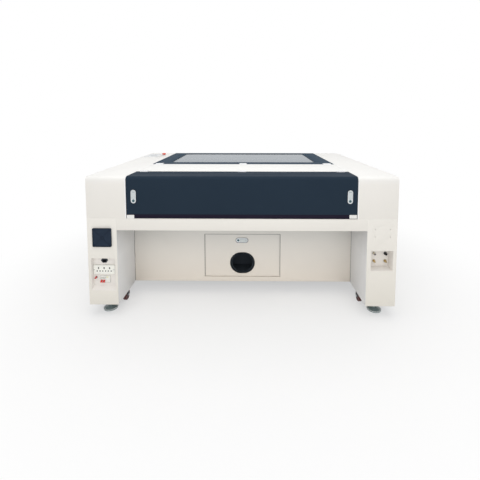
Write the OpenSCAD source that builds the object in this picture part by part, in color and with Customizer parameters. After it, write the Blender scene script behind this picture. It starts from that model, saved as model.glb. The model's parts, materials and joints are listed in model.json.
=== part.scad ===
/* [Work area] */
// Travel of the cutting head across the machine
work_w = 1220; // [900:10:1600]
// Travel of the gantry from the rear to the front
work_d = 914; // [700:2:1200]
// Room between the head's side limit and the bay wall
side_room = 170; // [160:1:220]
// Room between the head's front limit and the front face
front_room = 176; // [150:1:260]

/* [Body] */
// Height of the deck above the floor
deck_z = 975; // [900:1:1200]
// Height of the upper housings and the tube cover
upper_h = 287; // [280:1:340]
// Width of each upper housing
top_w = 270; // [250:1:330]
// Width of each lower housing, seen as a pillar from the rear
pillar_w = 201; // [196:1:250]
// Clearance under the lower housings
skirt_z = 80; // [76:1:90]
// Thickness of the sheet metal
sheet = 2; // [1.5:0.1:2.6]
// Radius of the bends along the top rear and front edges
edge_r = 25; // [12:1:40]
// Gap round doors, cover and lid
panel_gap = 3; // [2:0.5:5]

/* [Rear side] */
// Depth of the recess between the pillars
recess_d = 320; // [280:1:340]
// Height of the beam that bridges the recess
beam_h = 82; // [60:1:120]
// Depth of the tube cover, from the rear face to its hinge line
cover_d = 213; // [200:1:230]
// Depth of the fixed deck strip between cover and lid
deck_d = 376; // [340:1:420]
// Width of the exhaust service door
exhaust_door_w = 588; // [400:1:700]
// Height of the exhaust service door
exhaust_door_h = 339; // [300:1:420]
// Radius at the ends of the opening in the exhaust door
exhaust_hole_r = 86; // [70:1:100]
// Straight part between those ends
exhaust_flat = 24; // [0:1:60]
// Width and height of the cabinet fan's guard
guard_w = 128; // [122:1:150]

/* [Lid] */
// Width of the lid's window
window_w = 1280; // [800:1:1400]
// Depth of the lid's window
window_d = 676; // [400:1:700]
// Radius of the window's corners
window_r = 30; // [10:1:60]
// Depth of the lid's side skirts
skirt_h = 30; // [24:1:40]
// Height of the lid's front skirt
front_skirt_h = 60; // [50:1:100]

/* [Motion] */
// Size of the square gantry beam
beam_s = 60; // [50:1:70]
// Radius of the laser tube
tube_r = 40; // [25:1:45]
// Length of the laser tube
tube_l = 1430; // [1000:1:1500]
// Distance between the bed's slats
slat_pitch = 40; // [20:1:60]
// Size of the square chassis tubes
bar = 40; // [30:1:44]

/* [Running gear] */
// Radius of the levelling feet
foot_r = 48; // [30:1:52]
// Radius of the castor wheels
wheel_r = 37.5; // [30:0.5:38]
// Gap between the castor wheels and the floor while the feet carry the machine
wheel_lift = 3; // [2:0.5:10]

/* [Hidden] */
$fn = 48;

// Clearances
run_gap = 0.3;      // between faces that slide or swing past each other
fit_gap = 0.05;     // radial, between a pin and its bore

// Overall sizes and the main planes
head_back = 200;    // from the tube cover's hinge line to the head at rest
body_w = work_w + 2 * (side_room + top_w);
body_d = cover_d + head_back + work_d + front_room - 3;
body_x = body_w / 2;
bay_x = body_x - top_w;
pillar_x = body_x - pillar_w;
y_rear = -body_d / 2;
y_front = body_d / 2;
y_cover = y_rear + cover_d;
y_lid = y_cover + deck_d;
y_panel = y_rear + recess_d;
seam_z = deck_z - upper_h;
beam_z = seam_z - beam_h;
lid_x = bay_x - panel_gap;
partition_y = y_cover + 2;          // rear face of the wall in front of the laser tube

// Hinges of the cover and the lid
leaf_t = 2;
knuckle_r = 4;
hinge_pin_r = 2.4;
hinge_w = 60;
edge_gap = 1.5;     // from a hinge line to the edge of each sheet
hinge_z = deck_z + knuckle_r;
cover_leaf = 37;
lid_leaf = 50;
short_leaf = 22;
hinge_xs = [-lid_x + 58, 0, lid_x - 58];

// Chassis
bar_t = 2.5;
plate_t = 6;
plate_l = 240;
plate_z = 106;                      // underside of the base plates
base_z = plate_z + plate_t;
rail_bar_x = bay_x - 5 - bar;       // inner face of the tube under each Y rail
rail_bar_z = seam_z + 52;
cross_ys = [y_cover + 297, y_front - 210];

// Y rails and their drive
rail_w = 20;
rail_h = 18;
rail_x = rail_bar_x + bar / 2;
rail_z = rail_bar_z + bar;
rail_y0 = y_cover + 47;
rail_y1 = y_front - 50;
belt_w = 10;
belt_t = 1.5;
pulley_r = 16;
belt_x = rail_bar_x - 20;
shaft_r = 8;
shaft_y = rail_y0 - 25;
shaft_z = rail_bar_z + bar / 2;
idler_y = y_front - 130;
bearing_t = 12;

// Gantry, drawn at its rear limit
block_w = rail_w + 14;
block_h = 26;
block_z = rail_z + 4;
end_plate_t = 8;
end_plate_x = rail_x - block_w / 2 - 48;
gantry_z = block_z + block_h + end_plate_t;
gantry_y0 = y_cover + head_back - 43 - beam_s;
gantry_y1 = gantry_y0 + beam_s;
beam_t = 3;
x_rail_w = 14;
x_rail_h = 12;
x_rail_z = gantry_z + beam_s;
x_pulley_x = work_w / 2 + 80;
x_idler_x = work_w / 2 + 58;
x_pulley_z = gantry_z + beam_s / 2;
motor_s = 57;
motor_l = 56;
y_motor_l = 78;

// Head, drawn at its -X limit
head_x = -work_w / 2;
head_y = gantry_y1 + 43;
plate_y = gantry_y1 + 18;
head_w = 60;
optic_z = x_rail_z + 7;             // height of the laser beam
focus_r = 12.5;
slide_gap = 0.1;
nozzle_z = seam_z + 126;
focus_travel = 10;

// Laser tube and first mirror
tube_y = y_rear + 110;
tube_x0 = -bay_x - 50;
mirror_x = work_w / 2 + 100;
mirror_s = 40;

// Bed
bed_x = work_w / 2 + 50;
bed_y0 = head_y - 43;
bed_y1 = head_y + work_d + 43;
bed_bar = 20;
bed_z = seam_z + bar;
slat_h = 30;
slat_t = 3;

// Lid pieces
lid_y0 = y_lid + edge_gap;
window_y = (y_lid + y_front) / 2;
pane_t = 4;
pane_lap = 10;
stud_r = 5;

// Gas struts: the base pivot on the bay wall and the upper pivot on the lid, in Y and Z
strut_base = [y_lid + 41, deck_z - 55];
strut_top = [y_lid + 391, deck_z - 23];
strut_x = bay_x - 23;
strut_eye_w = 13;
strut_r = 9;
rod_r = 4;
strut_l = norm(strut_top - strut_base);
strut_a = atan2(strut_top[1] - strut_base[1], strut_top[0] - strut_base[0]);
cylinder_l = strut_l - 110;

// Latches
latch_l = 92;
latch_w = 34;
latch_t = 4;
paddle_l = 58;
paddle_w = 24;
paddle_t = 2;
cover_latch_x = lid_x - 50;
cover_latch_z = seam_z + 152;

// Exhaust service door, its recess and the spigot behind it
exhaust_z0 = skirt_z + 41;
exhaust_z1 = exhaust_z0 + exhaust_door_h;
exhaust_y = y_panel + 6;
exhaust_hole_z = exhaust_z0 + 109;
exhaust_pivot = [exhaust_y + 5, exhaust_z0 + 5];
spigot_r = exhaust_hole_r - 6;
duct_y0 = y_panel + 28;
duct_z0 = exhaust_hole_z - spigot_r - 8;
duct_d = 138;
duct_w = 300;
jamb_d = 16;
rim_w = 7;
rim_t = 3;
door_fold = 6;       // depth of the folded edges behind a door's sheet

// Front door and drawer
door_z0 = seam_z + panel_gap;
door_z1 = deck_z - front_skirt_h - panel_gap;
door_pivot = [y_front - 5, door_z0 + 5];
drawer_w = 1120 + work_w - 1220;
drawer_h = 140;
drawer_z = seam_z - 188;
drawer_y0 = duct_y0 + duct_d + 8;
runner_t = 2.5;
grip_out = 9;

// Pockets in the rear faces of the pillars
power_pocket = [164, 228, 30];
power_pocket_z = 181;
power_pocket_x = -body_x + 19;
power_sill = 23;     // how far the sill rises to its back edge
water_pocket = [149, 139, 74];
water_pocket_z = 330;
water_pocket_x = pillar_x + 28.5;
water_sill = 1;
power_y = y_rear + power_pocket[2];
water_y = y_rear + water_pocket[2];

// Cabinet fan
fan_x = -body_x + 102;
fan_z = seam_z - 131.5;
fan_r = 57;
guard_t = 9;
guard_r = 6;
guard_lip = 4;       // width of the raised edge round the filter mat
mat_y = 6;           // face of the filter mat, out from the rear face
mat_t = 3;
guard_rib = 3;
boss_r = 14;
fan_d = 38;
fan_s = 119;
hub_r = 21;
fan_pin_r = 3;
blade_n = 7;

// Power pocket's pieces
inlet_x = power_pocket_x + 80;
inlet_z = power_pocket_z + 199;
inlet_outline = [[-17.5, 14], [-24.5, 1.4], [-11.5, -14], [11.5, -14], [24.5, 1.4], [17.5, 14]];
inlet_body = [27.4, 19.4];
inlet_bore = [24, 16];
inlet_t = 4;
socket_x = power_pocket_x + 78;
socket_z = power_pocket_z + 137.5;
socket_w = 150;
socket_h = 65;
socket_t = 8;
socket_pitch = 38.5;
earth_slot = [6, 12];
live_slot = [7, 6];
slot_d = 6;
fuse_x = power_pocket_x + 20;
fuse_z = power_pocket_z + 81;
breaker_x = power_pocket_x + 82.5;
breaker_z = power_pocket_z + 68.6;
breaker_w = 73;
breaker_h = 47;
breaker_t = 6;       // how far the nose stands out of the tray
breaker_body_h = 84;
breaker_body_d = 44;
lever_pin_r = 1.5;
lever_w = 14.5;
lever_l = 22;
lever_pitch = 17.5;
lever_hub_r = 5;
lever_down = 55;     // angle below level while switched off
lever_slot = 28;
lever_y = power_y - breaker_t + 4;
lever_z = breaker_z - 2.5;

// Water pocket's pieces
fitting_xs = [water_pocket_x + 49.5, water_pocket_x + 127.5];
fitting_zs = [water_pocket_z + 38, water_pocket_z + 92];
barb_r = 5;
barb_l = 22;

// Bracket holes in the water side's pillar
bracket_x = pillar_x + 104;
bracket_z = seam_z - 95.5;
bracket_w = 102;
bracket_h = 53;
bracket_hole_r = 2.5;

// Control panel
console_x = -body_x + 105;
console_y = y_front - 295;
console_w = 150;
console_d = 240;
console_t = 6;
screen_w = 100;
screen_d = 70;
estop_x = -body_x + 204;
estop_y = y_front - 290;
estop_r = 20;
collar_r = 22;
stem_r = 8;
collar_h = 10;
estop_travel = 5;

// Feet and castors
foot_x = pillar_x + 98;
foot_y = y_front - 95;
stud_len = 30;
castor_x = pillar_x + 25;
castor_rear_y = y_rear + 195;
castor_front_y = y_front - 220;
castor_trail = 20;
wheel_w = 25;
wheel_z = wheel_lift + wheel_r;
axle_r = 5;
leg_t = 3;
leg_x = wheel_w / 2 + 1.5;
swivel_r = 6;
crown_r = 24;
crown_t = 8;
crown_z = plate_z - 12;

// ---- Shared shapes ----

// A block between two corners
module block(lo, hi) {
    translate(lo) cube(hi - lo);
}

// Runs an outline drawn in (Y, Z) along X
module x_run(x0, x1) {
    translate([x0, 0, 0]) rotate([90, 0, 90]) linear_extrude(x1 - x0) children();
}

// Runs an outline drawn in (X, Z) along Y
module y_run(y0, y1) {
    translate([0, y1, 0]) rotate([90, 0, 0]) linear_extrude(y1 - y0) children();
}

module x_rod(x0, x1, y, z, r) {
    x_run(x0, x1) translate([y, z]) circle(r);
}

module y_rod(y0, y1, x, z, r) {
    y_run(y0, y1) translate([x, z]) circle(r);
}

module z_rod(z0, z1, x, y, r) {
    translate([x, y, z0]) cylinder(z1 - z0, r, r);
}

// The same piece on both sides of the machine
module both_sides() {
    children();
    mirror([1, 0, 0]) children();
}

module round_rect(w, h, r) {
    square([w - 2 * r, h], center = true);
    square([w, h - 2 * r], center = true);
    for (x = [-1, 1], y = [-1, 1])
        translate([x * (w / 2 - r), y * (h / 2 - r)]) circle(r);
}

module stadium(l, w) {
    square([w, l - w], center = true);
    for (s = [-1, 1]) translate([0, s * (l - w) / 2]) circle(w / 2);
}

// Section of a square chassis tube, from its lower corner
module bar_section() {
    difference() {
        square(bar);
        translate([bar_t, bar_t]) square(bar - 2 * bar_t);
    }
}

module bar_x(x0, x1, y, z) {
    x_run(x0, x1) translate([y, z]) bar_section();
}

module bar_y(y0, y1, x, z) {
    y_run(y0, y1) translate([x, z]) bar_section();
}

module bar_z(z0, z1, x, y) {
    translate([x, y, z0]) linear_extrude(z1 - z0) bar_section();
}

// Closed loop of a toothed belt round two pulleys in line, seen from its side
module belt_loop(a, b, level) {
    difference() {
        belt_outline(a, b, level, pulley_r + run_gap + belt_t);
        belt_outline(a, b, level, pulley_r + run_gap);
    }
}

module belt_outline(a, b, level, r) {
    translate([a, level - r]) square([b - a, 2 * r]);
    for (x = [a, b]) translate([x, level]) circle(r);
}

// Outline in (Y, Z) of the upper body, with bent top edges
module upper_outline(inset, foot) {
    side = max(edge_r, inset);
    translate([y_rear + inset, seam_z - foot]) square([body_d - 2 * inset, upper_h - side + foot]);
    translate([y_rear + side, seam_z - foot]) square([body_d - 2 * side, upper_h - inset + foot]);
    if (inset < edge_r)
        for (y = [y_rear + edge_r, y_front - edge_r])
            translate([y, deck_z - edge_r]) circle(edge_r - inset);
}

// A band of the upper body's sheet, t thick, between two planes and above a level
module upper_band(t, ya, yb, za) {
    intersection() {
        difference() {
            upper_outline(0, 0);
            upper_outline(t, 1);
        }
        translate([ya, za]) square([yb - ya, deck_z - za + 1]);
    }
}

// ---- Chassis and running gear ----

module base_plate(y0) {
    difference() {
        block([pillar_x + sheet, y0, plate_z], [body_x - sheet, y0 + plate_l, base_z]);
        z_rod(plate_z - 1, base_z + 1, foot_x, y0 < 0 ? -foot_y : foot_y, swivel_r + 2.2);
    }
}

module castor_legs(y, top) {
    for (s = [-1, 1])
        translate([castor_x + s * (leg_x + leg_t / 2), 0, 0]) x_run(-leg_t / 2, leg_t / 2) {
            translate([y, wheel_z]) circle(12);
            translate([y - 12, wheel_z]) square([24, top - wheel_z]);
        }
    x_rod(castor_x - leg_x - leg_t - 2, castor_x + leg_x + leg_t + 2, y, wheel_z, axle_r);
}

module chassis_side() {
    for (x = [pillar_x + 11, body_x - 10 - bar])
        bar_y(y_rear + 10, y_front - 10, x, base_z);
    for (y = [-foot_y + 25, foot_y - 25 - bar])
        bar_x(pillar_x + 11 + bar, body_x - 10 - bar, y, base_z);
    for (y0 = [y_rear + sheet, y_front - sheet - plate_l]) base_plate(y0);
    for (y = cross_ys) {
        bar_z(base_z + bar, rail_bar_z, rail_bar_x, y);
        block([drawer_w / 2 + 2 + runner_t, y, drawer_z + 20],
            [rail_bar_x, y + bar, drawer_z + 20 + bar]);
    }
    bar_y(rail_y0, rail_y1, rail_bar_x, rail_bar_z);
    // angle that carries the drawer
    y_run(cross_ys[0], y_front - sheet) {
        translate([drawer_w / 2 - 20, drawer_z - run_gap - runner_t]) square([22 + runner_t, runner_t]);
        translate([drawer_w / 2 + 2, drawer_z - run_gap - runner_t]) square([runner_t, 70]);
    }
    castor_legs(castor_rear_y, plate_z);
    // swivel pin of the front castor, with its lower head
    z_rod(crown_z - crown_t - run_gap, plate_z, castor_x, castor_front_y, swivel_r);
    z_rod(crown_z - crown_t - run_gap - 4, crown_z - crown_t - run_gap, castor_x, castor_front_y, 10);
    z_rod(crown_z + run_gap, plate_z, castor_x, castor_front_y, 18);
}

module chassis_frame() {
    color([0.32, 0.34, 0.36]) {
        both_sides() chassis_side();
        for (y = cross_ys) {
            bar_x(-pillar_x - 11, pillar_x + 11, y, base_z);
            bar_x(-rail_bar_x, rail_bar_x, y, seam_z);
        }
    }
}

module levelling_feet() {
    color([0.62, 0.66, 0.62]) both_sides() for (y = [-foot_y, foot_y]) translate([foot_x, y, 0]) {
        cylinder(8, foot_r, foot_r);
        translate([0, 0, 8]) cylinder(8, foot_r, 14);
        cylinder(base_z + stud_len, swivel_r + 2, swivel_r + 2);
        translate([0, 0, plate_z - 13]) cylinder(13, 14, 14, $fn = 6);
    }
}

module castor_wheel(side, y) {
    color([0.36, 0.12, 0.11]) translate([side * castor_x, y, wheel_z]) rotate([0, 90, 0])
        rotate_extrude($fn = 64) polygon([[axle_r + fit_gap, -wheel_w / 2], [14, -wheel_w / 2],
            [14, -wheel_w / 2 + 3], [29, -wheel_w / 2 + 3], [30, -wheel_w / 2],
            [wheel_r - 3, -wheel_w / 2], [wheel_r, -wheel_w / 2 + 3], [wheel_r, wheel_w / 2 - 3],
            [wheel_r - 3, wheel_w / 2],
            [30, wheel_w / 2], [29, wheel_w / 2 - 3], [14, wheel_w / 2 - 3], [14, wheel_w / 2],
            [axle_r + fit_gap, wheel_w / 2]]);
}

module castor_fork(side) {
    color([0.6, 0.61, 0.62]) mirror([side < 0 ? 1 : 0, 0, 0]) difference() {
        union() {
            z_rod(crown_z - crown_t, crown_z, castor_x, castor_front_y, crown_r);
            castor_legs(castor_front_y + castor_trail, crown_z - crown_t / 2);
        }
        z_rod(crown_z - crown_t - 1, crown_z + 1, castor_x, castor_front_y, swivel_r + fit_gap);
        z_rod(crown_z - crown_t - 8, crown_z - crown_t, castor_x, castor_front_y, 10.5);
    }
}

// ---- Housings ----

// Tray behind an opening in a rear face; size is [width, height, depth] and the sill rises to its back
module pocket_tray(size, rise) {
    d = size[2];
    h = size[1];
    x_run(0, size[0]) difference() {
        tray_side(d, h, rise);
        polygon([[-1, -rise / d], [d, rise], [d, h], [-1, h]]);
    }
    for (x = [-sheet, size[0]]) x_run(x, x + sheet) tray_side(d, h, rise);
}

module tray_side(d, h, rise) {
    polygon([[0, -sheet], [d + sheet, rise - sheet], [d + sheet, h + sheet], [0, h + sheet]]);
}

// Cut-out through the back of the power tray
module power_cut(x, z, w, h) {
    block([x - w / 2 - run_gap, power_y - 1, z - h / 2 - run_gap],
        [x + w / 2 + run_gap, power_y + sheet + 1, z + h / 2 + run_gap]);
}

// Walls of a lower housing at +X: rear, outer side, front strip and the recess's side
module housing_walls() {
    translate([0, 0, skirt_z]) linear_extrude(seam_z - skirt_z) difference() {
        translate([pillar_x, y_rear]) square([pillar_w, body_d]);
        translate([pillar_x + sheet, y_rear + sheet]) square([pillar_w - 2 * sheet, body_d - 2 * sheet]);
        translate([pillar_x - 1, y_panel]) square([sheet + 2, body_d - recess_d - sheet]);
    }
}

// A field of slots in an outer side wall, at +X
module vent_field(y, z, rows) {
    for (i = [0:rows - 1], j = [-1, 1])
        translate([body_x - sheet - 1, y + j * 75, z + 16 * i]) rotate([0, 90, 0])
            linear_extrude(sheet + 2) stadium(120, 6);
}

module power_side_housing() {
    color([0.9, 0.89, 0.87]) {
        difference() {
            mirror([1, 0, 0]) difference() {
                housing_walls();
                vent_field(0, skirt_z + 120, 8);
            }
            translate([power_pocket_x, y_rear - 1, power_pocket_z])
                cube([power_pocket[0], sheet + 2, power_pocket[1]]);
            y_rod(y_rear - 1, y_rear + sheet + 1, fan_x, fan_z, fan_r);
        }
        difference() {
            translate([power_pocket_x, y_rear, power_pocket_z]) pocket_tray(power_pocket, power_sill);
            power_cut(inlet_x, inlet_z, inlet_body[0], inlet_body[1]);
            power_cut(breaker_x, breaker_z, breaker_w, breaker_h);
        }
    }
}

module water_side_housing() {
    color([0.9, 0.89, 0.87]) {
        difference() {
            housing_walls();
            vent_field(0, skirt_z + 120, 8);
            translate([water_pocket_x, y_rear - 1, water_pocket_z])
                cube([water_pocket[0], sheet + 2, water_pocket[1]]);
            for (x = [-1, 1], z = [-1, 1])
                y_rod(y_rear - 1, y_rear + sheet + 1, bracket_x + x * bracket_w / 2,
                    bracket_z + z * bracket_h / 2, bracket_hole_r);
        }
        translate([water_pocket_x, y_rear, water_pocket_z]) pocket_tray(water_pocket, water_sill);
    }
}

// Upper housing at +X: bent top sheet, outer wall and the bay's wall
module housing_top() {
    x_run(bay_x, body_x) upper_band(sheet, y_rear, y_front, seam_z);
    x_run(body_x - sheet, body_x) upper_outline(0, 0);
    difference() {
        x_run(bay_x, bay_x + sheet) upper_outline(0, 0);
        x_rod(bay_x - 1, bay_x + sheet + 1, door_pivot[0], door_pivot[1], hinge_pin_r + fit_gap);
    }
    // stud of the gas strut and the buffer under the lid
    x_rod(strut_x - strut_eye_w / 2 - 1, bay_x, strut_base[0], strut_base[1], rod_r);
    x_rod(strut_x + strut_eye_w / 2 + run_gap, bay_x, strut_base[0], strut_base[1], 8);
    block([lid_x - 12, y_front - 2 * skirt_h - 40, deck_z - skirt_h - 22],
        [bay_x, y_front - 2 * skirt_h, deck_z - skirt_h - run_gap]);
}

module power_side_top() {
    color([0.92, 0.91, 0.9]) difference() {
        mirror([1, 0, 0]) housing_top();
        x_rod(-bay_x - sheet - 1, -bay_x + 1, tube_y, optic_z, tube_r + 10);
        x_rod(-bay_x - sheet - 1, -bay_x + 1, shaft_y, shaft_z, 20);
        z_rod(deck_z - sheet - 1, deck_z + 1, estop_x, estop_y, stem_r + 2);
    }
}

module water_side_top() {
    color([0.92, 0.91, 0.9]) housing_top();
}

module rear_deck() {
    color([0.96, 0.96, 0.95]) x_run(-bay_x, bay_x) difference() {
        translate([partition_y, deck_z - skirt_h]) square([y_lid - edge_gap - partition_y, skirt_h]);
        translate([partition_y + sheet, deck_z - skirt_h - 1])
            square([y_lid - edge_gap - partition_y - 2 * sheet, skirt_h + 1 - sheet]);
    }
}

module rear_beam() {
    color([0.92, 0.9, 0.87]) x_run(-pillar_x, pillar_x) difference() {
        translate([y_rear, beam_z]) square([recess_d, beam_h]);
        translate([y_rear + sheet, beam_z + sheet]) square([recess_d, beam_h - 2 * sheet]);
    }
}

module rear_panel() {
    color([0.8, 0.79, 0.77]) difference() {
        union() {
            block([-pillar_x, y_panel, skirt_z + 2], [pillar_x, y_panel + sheet, seam_z - sheet]);
            y_run(y_panel, y_panel + jamb_d) exhaust_outline(panel_gap + sheet);
        }
        y_run(y_panel - 1, y_panel + jamb_d + 1) exhaust_outline(panel_gap);
        x_rod(-exhaust_door_w / 2 - 20, exhaust_door_w / 2 + 20, exhaust_pivot[0], exhaust_pivot[1],
            hinge_pin_r + fit_gap);
    }
}

// Outline of the exhaust door, grown by a margin
module exhaust_outline(m) {
    translate([-exhaust_door_w / 2 - m, exhaust_z0 - m])
        square([exhaust_door_w + 2 * m, exhaust_door_h + 2 * m]);
}

// Opening in that door, grown by a margin
module exhaust_opening(m) {
    translate([0, exhaust_hole_z]) rotate(90)
        stadium(exhaust_flat + 2 * (exhaust_hole_r + m), 2 * (exhaust_hole_r + m));
}

module front_panel() {
    color([0.9, 0.89, 0.87]) difference() {
        block([-pillar_x, y_front - sheet, skirt_z], [pillar_x, y_front, seam_z]);
        block([-drawer_w / 2 - 3, y_front - sheet - 1, drawer_z - 3],
            [drawer_w / 2 + 3, y_front + 1, drawer_z + drawer_h + 3]);
    }
}

module chamber_walls() {
    color([0.75, 0.75, 0.74]) {
        // partition in front of the laser tube, with the hole for the beam
        difference() {
            block([-bay_x, partition_y, seam_z], [bay_x, partition_y + sheet, deck_z - skirt_h]);
            y_rod(partition_y - 1, partition_y + sheet + 1, mirror_x, optic_z, 10);
        }
        // floor pan, open over the drawer and the exhaust duct
        difference() {
            block([-bay_x - sheet, y_panel, seam_z - sheet], [bay_x + sheet, y_front - sheet, seam_z]);
            block([-drawer_w / 2 + 20, drawer_y0 + 20, seam_z - sheet - 1],
                [drawer_w / 2 - 20, y_front - 250, seam_z + 1]);
            block([-duct_w / 2 + sheet, duct_y0 + sheet, seam_z - sheet - 1],
                [duct_w / 2 - sheet, duct_y0 + duct_d - sheet, seam_z + 1]);
            for (s = [-1, 1], y = cross_ys)
                translate([s * rail_x - bar / 2 - 0.5, y - 0.5, seam_z - sheet - 1])
                    cube([bar + 1, bar + 1, sheet + 2]);
        }
    }
}

module exhaust_plenum() {
    color([0.13, 0.14, 0.15]) {
        difference() {
            block([-duct_w / 2, duct_y0, duct_z0], [duct_w / 2, duct_y0 + duct_d, seam_z - sheet]);
            block([-duct_w / 2 + sheet, duct_y0 + sheet, duct_z0 + sheet],
                [duct_w / 2 - sheet, duct_y0 + duct_d - sheet, seam_z]);
            y_rod(duct_y0 - 1, duct_y0 + sheet + 1, 0, exhaust_hole_z, spigot_r);
        }
        difference() {
            y_rod(exhaust_y + 3, duct_y0 + sheet, 0, exhaust_hole_z, spigot_r + sheet);
            y_rod(exhaust_y + 2, duct_y0 + sheet + 1, 0, exhaust_hole_z, spigot_r);
        }
    }
}

// ---- Bed and Y drive ----

module bed_frame() {
    color([0.45, 0.46, 0.48]) translate([0, 0, bed_z]) linear_extrude(bar) difference() {
        translate([-bed_x, bed_y0]) square([2 * bed_x, bed_y1 - bed_y0]);
        translate([-bed_x + bed_bar, bed_y0 + bed_bar])
            square([2 * (bed_x - bed_bar), bed_y1 - bed_y0 - 2 * bed_bar]);
    }
}

module bed_slats() {
    half = floor((bed_x - bed_bar) / slat_pitch);
    color([0.7, 0.71, 0.72]) for (i = [-half:half])
        translate([i * slat_pitch - slat_t / 2, bed_y0, bed_z + bar])
            cube([slat_t, bed_y1 - bed_y0, slat_h]);
}

module y_rails() {
    color([0.72, 0.73, 0.75]) both_sides() {
        block([rail_x - rail_w / 2, rail_y0, rail_z], [rail_x + rail_w / 2, rail_y1, rail_z + rail_h]);
        // bearing of the cross shaft on the end of the chassis tube
        difference() {
            block([rail_bar_x, partition_y + sheet, rail_bar_z],
                [rail_bar_x + bearing_t, rail_y0, rail_bar_z + bar]);
            x_rod(rail_bar_x - 1, rail_bar_x + bearing_t + 1, shaft_y, shaft_z, shaft_r + fit_gap);
        }
        // bracket and pin of the idler
        block([belt_x + belt_w / 2 + 1.5, idler_y - 15, rail_bar_z + 4],
            [rail_bar_x, idler_y + 15, rail_bar_z + bar - 4]);
        x_rod(belt_x - belt_w / 2 - 4, rail_bar_x, idler_y, shaft_z, axle_r);
    }
}

module y_belts() {
    color([0.12, 0.12, 0.13]) both_sides()
        x_run(belt_x - belt_w / 2, belt_x + belt_w / 2) belt_loop(shaft_y, idler_y, shaft_z);
}

module y_pulley(y, hole_r) {
    difference() {
        x_rod(belt_x - belt_w / 2 - 1, belt_x + belt_w / 2 + 1, y, shaft_z, pulley_r);
        x_rod(belt_x - belt_w / 2 - 2, belt_x + belt_w / 2 + 2, y, shaft_z, hole_r);
    }
}

module y_shaft() {
    color([0.75, 0.76, 0.78]) {
        both_sides() y_pulley(shaft_y, shaft_r - 1);
        x_rod(-bay_x + 4, rail_bar_x + bearing_t + 3, shaft_y, shaft_z, shaft_r);
        x_rod(-bay_x + 4, -rail_bar_x - bearing_t - 3, shaft_y, shaft_z, shaft_r + 5);
    }
}

module y_idlers() {
    color([0.75, 0.76, 0.78]) both_sides() y_pulley(idler_y, axle_r + fit_gap);
}

module y_motor() {
    color([0.15, 0.15, 0.16]) {
        x_run(-bay_x - sheet - y_motor_l, -bay_x - sheet) translate([shaft_y, shaft_z])
            round_rect(motor_s, motor_s, 5);
        x_rod(-bay_x - sheet, -bay_x + 4 - run_gap, shaft_y, shaft_z, 17);
    }
}

// ---- Laser tube and mirrors ----

module laser_tube() {
    cap_l = 40;
    color([0.85, 0.87, 0.88]) translate([tube_x0, tube_y, optic_z]) rotate([0, 90, 0]) {
        difference() {
            translate([0, 0, cap_l]) cylinder(tube_l - 2 * cap_l, tube_r, tube_r);
            translate([0, 0, cap_l + 3]) cylinder(tube_l - 2 * cap_l - 6, tube_r - 2.5, tube_r - 2.5);
        }
        for (z = [0, tube_l - cap_l]) translate([0, 0, z]) cylinder(cap_l, tube_r - 12, tube_r - 12);
        cylinder(cap_l - 12, tube_r - 8, tube_r - 8);
    }
}

module tube_mounts() {
    color([0.2, 0.21, 0.22]) for (x = [tube_x0 + 330, tube_x0 + tube_l - 300]) {
        block([x - 30, tube_y - 50, seam_z], [x + 30, tube_y + 50, seam_z + 6]);
        difference() {
            union() {
                block([x - 12, tube_y - 30, seam_z + 6], [x + 12, tube_y + 30, optic_z]);
                x_rod(x - 12, x + 12, tube_y, optic_z, tube_r + 6);
            }
            x_rod(x - 13, x + 13, tube_y, optic_z, tube_r + run_gap);
        }
    }
}

// Block that turns the beam from +Y to X; dir is the side the beam leaves or comes from
module mirror_block(x, y, in, out) {
    difference() {
        translate([x, y, optic_z]) cube(mirror_s, center = true);
        y_rod(y + (in > 0 ? 0 : -mirror_s / 2 - 1), y + (in > 0 ? mirror_s / 2 + 1 : 0), x, optic_z, 8);
        x_rod(x - mirror_s / 2 - 1, x, y, optic_z, 8);
        translate([x + out * mirror_s / 2, y + out * in * mirror_s / 2, optic_z - 21]) rotate(45)
            translate([-14, -14, 0]) cube([28, 28, 42]);
    }
}

module first_mirror() {
    color([0.75, 0.6, 0.3]) {
        mirror_block(mirror_x, tube_y, 1, 1);
        block([mirror_x - 15, tube_y - 15, seam_z], [mirror_x + 5, tube_y + 5, optic_z - 20]);
        block([mirror_x - 30, tube_y - 30, seam_z], [mirror_x + 30, tube_y + 30, seam_z + 6]);
    }
}

module second_mirror() {
    color([0.75, 0.6, 0.3]) {
        mirror_block(mirror_x, head_y, -1, 1);
        block([mirror_x - 15, head_y - 15, gantry_z], [mirror_x + 10, head_y + 5, optic_z - 20]);
    }
}

// ---- Gantry and head ----

module gantry_end() {
    block([end_plate_x, gantry_y0 - 10, gantry_z - end_plate_t],
        [rail_x + block_w / 2, head_y + 27, gantry_z]);
    difference() {
        block([rail_x - block_w / 2, gantry_y0, block_z],
            [rail_x + block_w / 2, gantry_y1, block_z + block_h]);
        block([rail_x - rail_w / 2 - run_gap, gantry_y0 - 1, block_z - 1],
            [rail_x + rail_w / 2 + run_gap, gantry_y1 + 1, rail_z + rail_h + run_gap]);
    }
    // clamp on the belt's upper run
    block([belt_x - 6, gantry_y0 + 10, shaft_z + pulley_r + belt_t + 2 * run_gap],
        [belt_x + 6, gantry_y1 - 10, gantry_z - end_plate_t]);
}

module gantry_beam() {
    color([0.78, 0.79, 0.8]) {
        both_sides() gantry_end();
        difference() {
            x_run(-rail_bar_x, rail_bar_x) translate([gantry_y0, gantry_z]) difference() {
                square(beam_s);
                translate([beam_t, beam_t]) square(beam_s - 2 * beam_t);
            }
            y_rod(gantry_y0 - 1, gantry_y1 + 1, -x_pulley_x, x_pulley_z, 8);
        }
        block([-x_pulley_x, (gantry_y0 + gantry_y1 - x_rail_w) / 2, x_rail_z],
            [x_pulley_x, (gantry_y0 + gantry_y1 + x_rail_w) / 2, x_rail_z + x_rail_h]);
        y_rod(gantry_y1, gantry_y1 + 16, x_idler_x, x_pulley_z, rod_r);
    }
}

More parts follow.
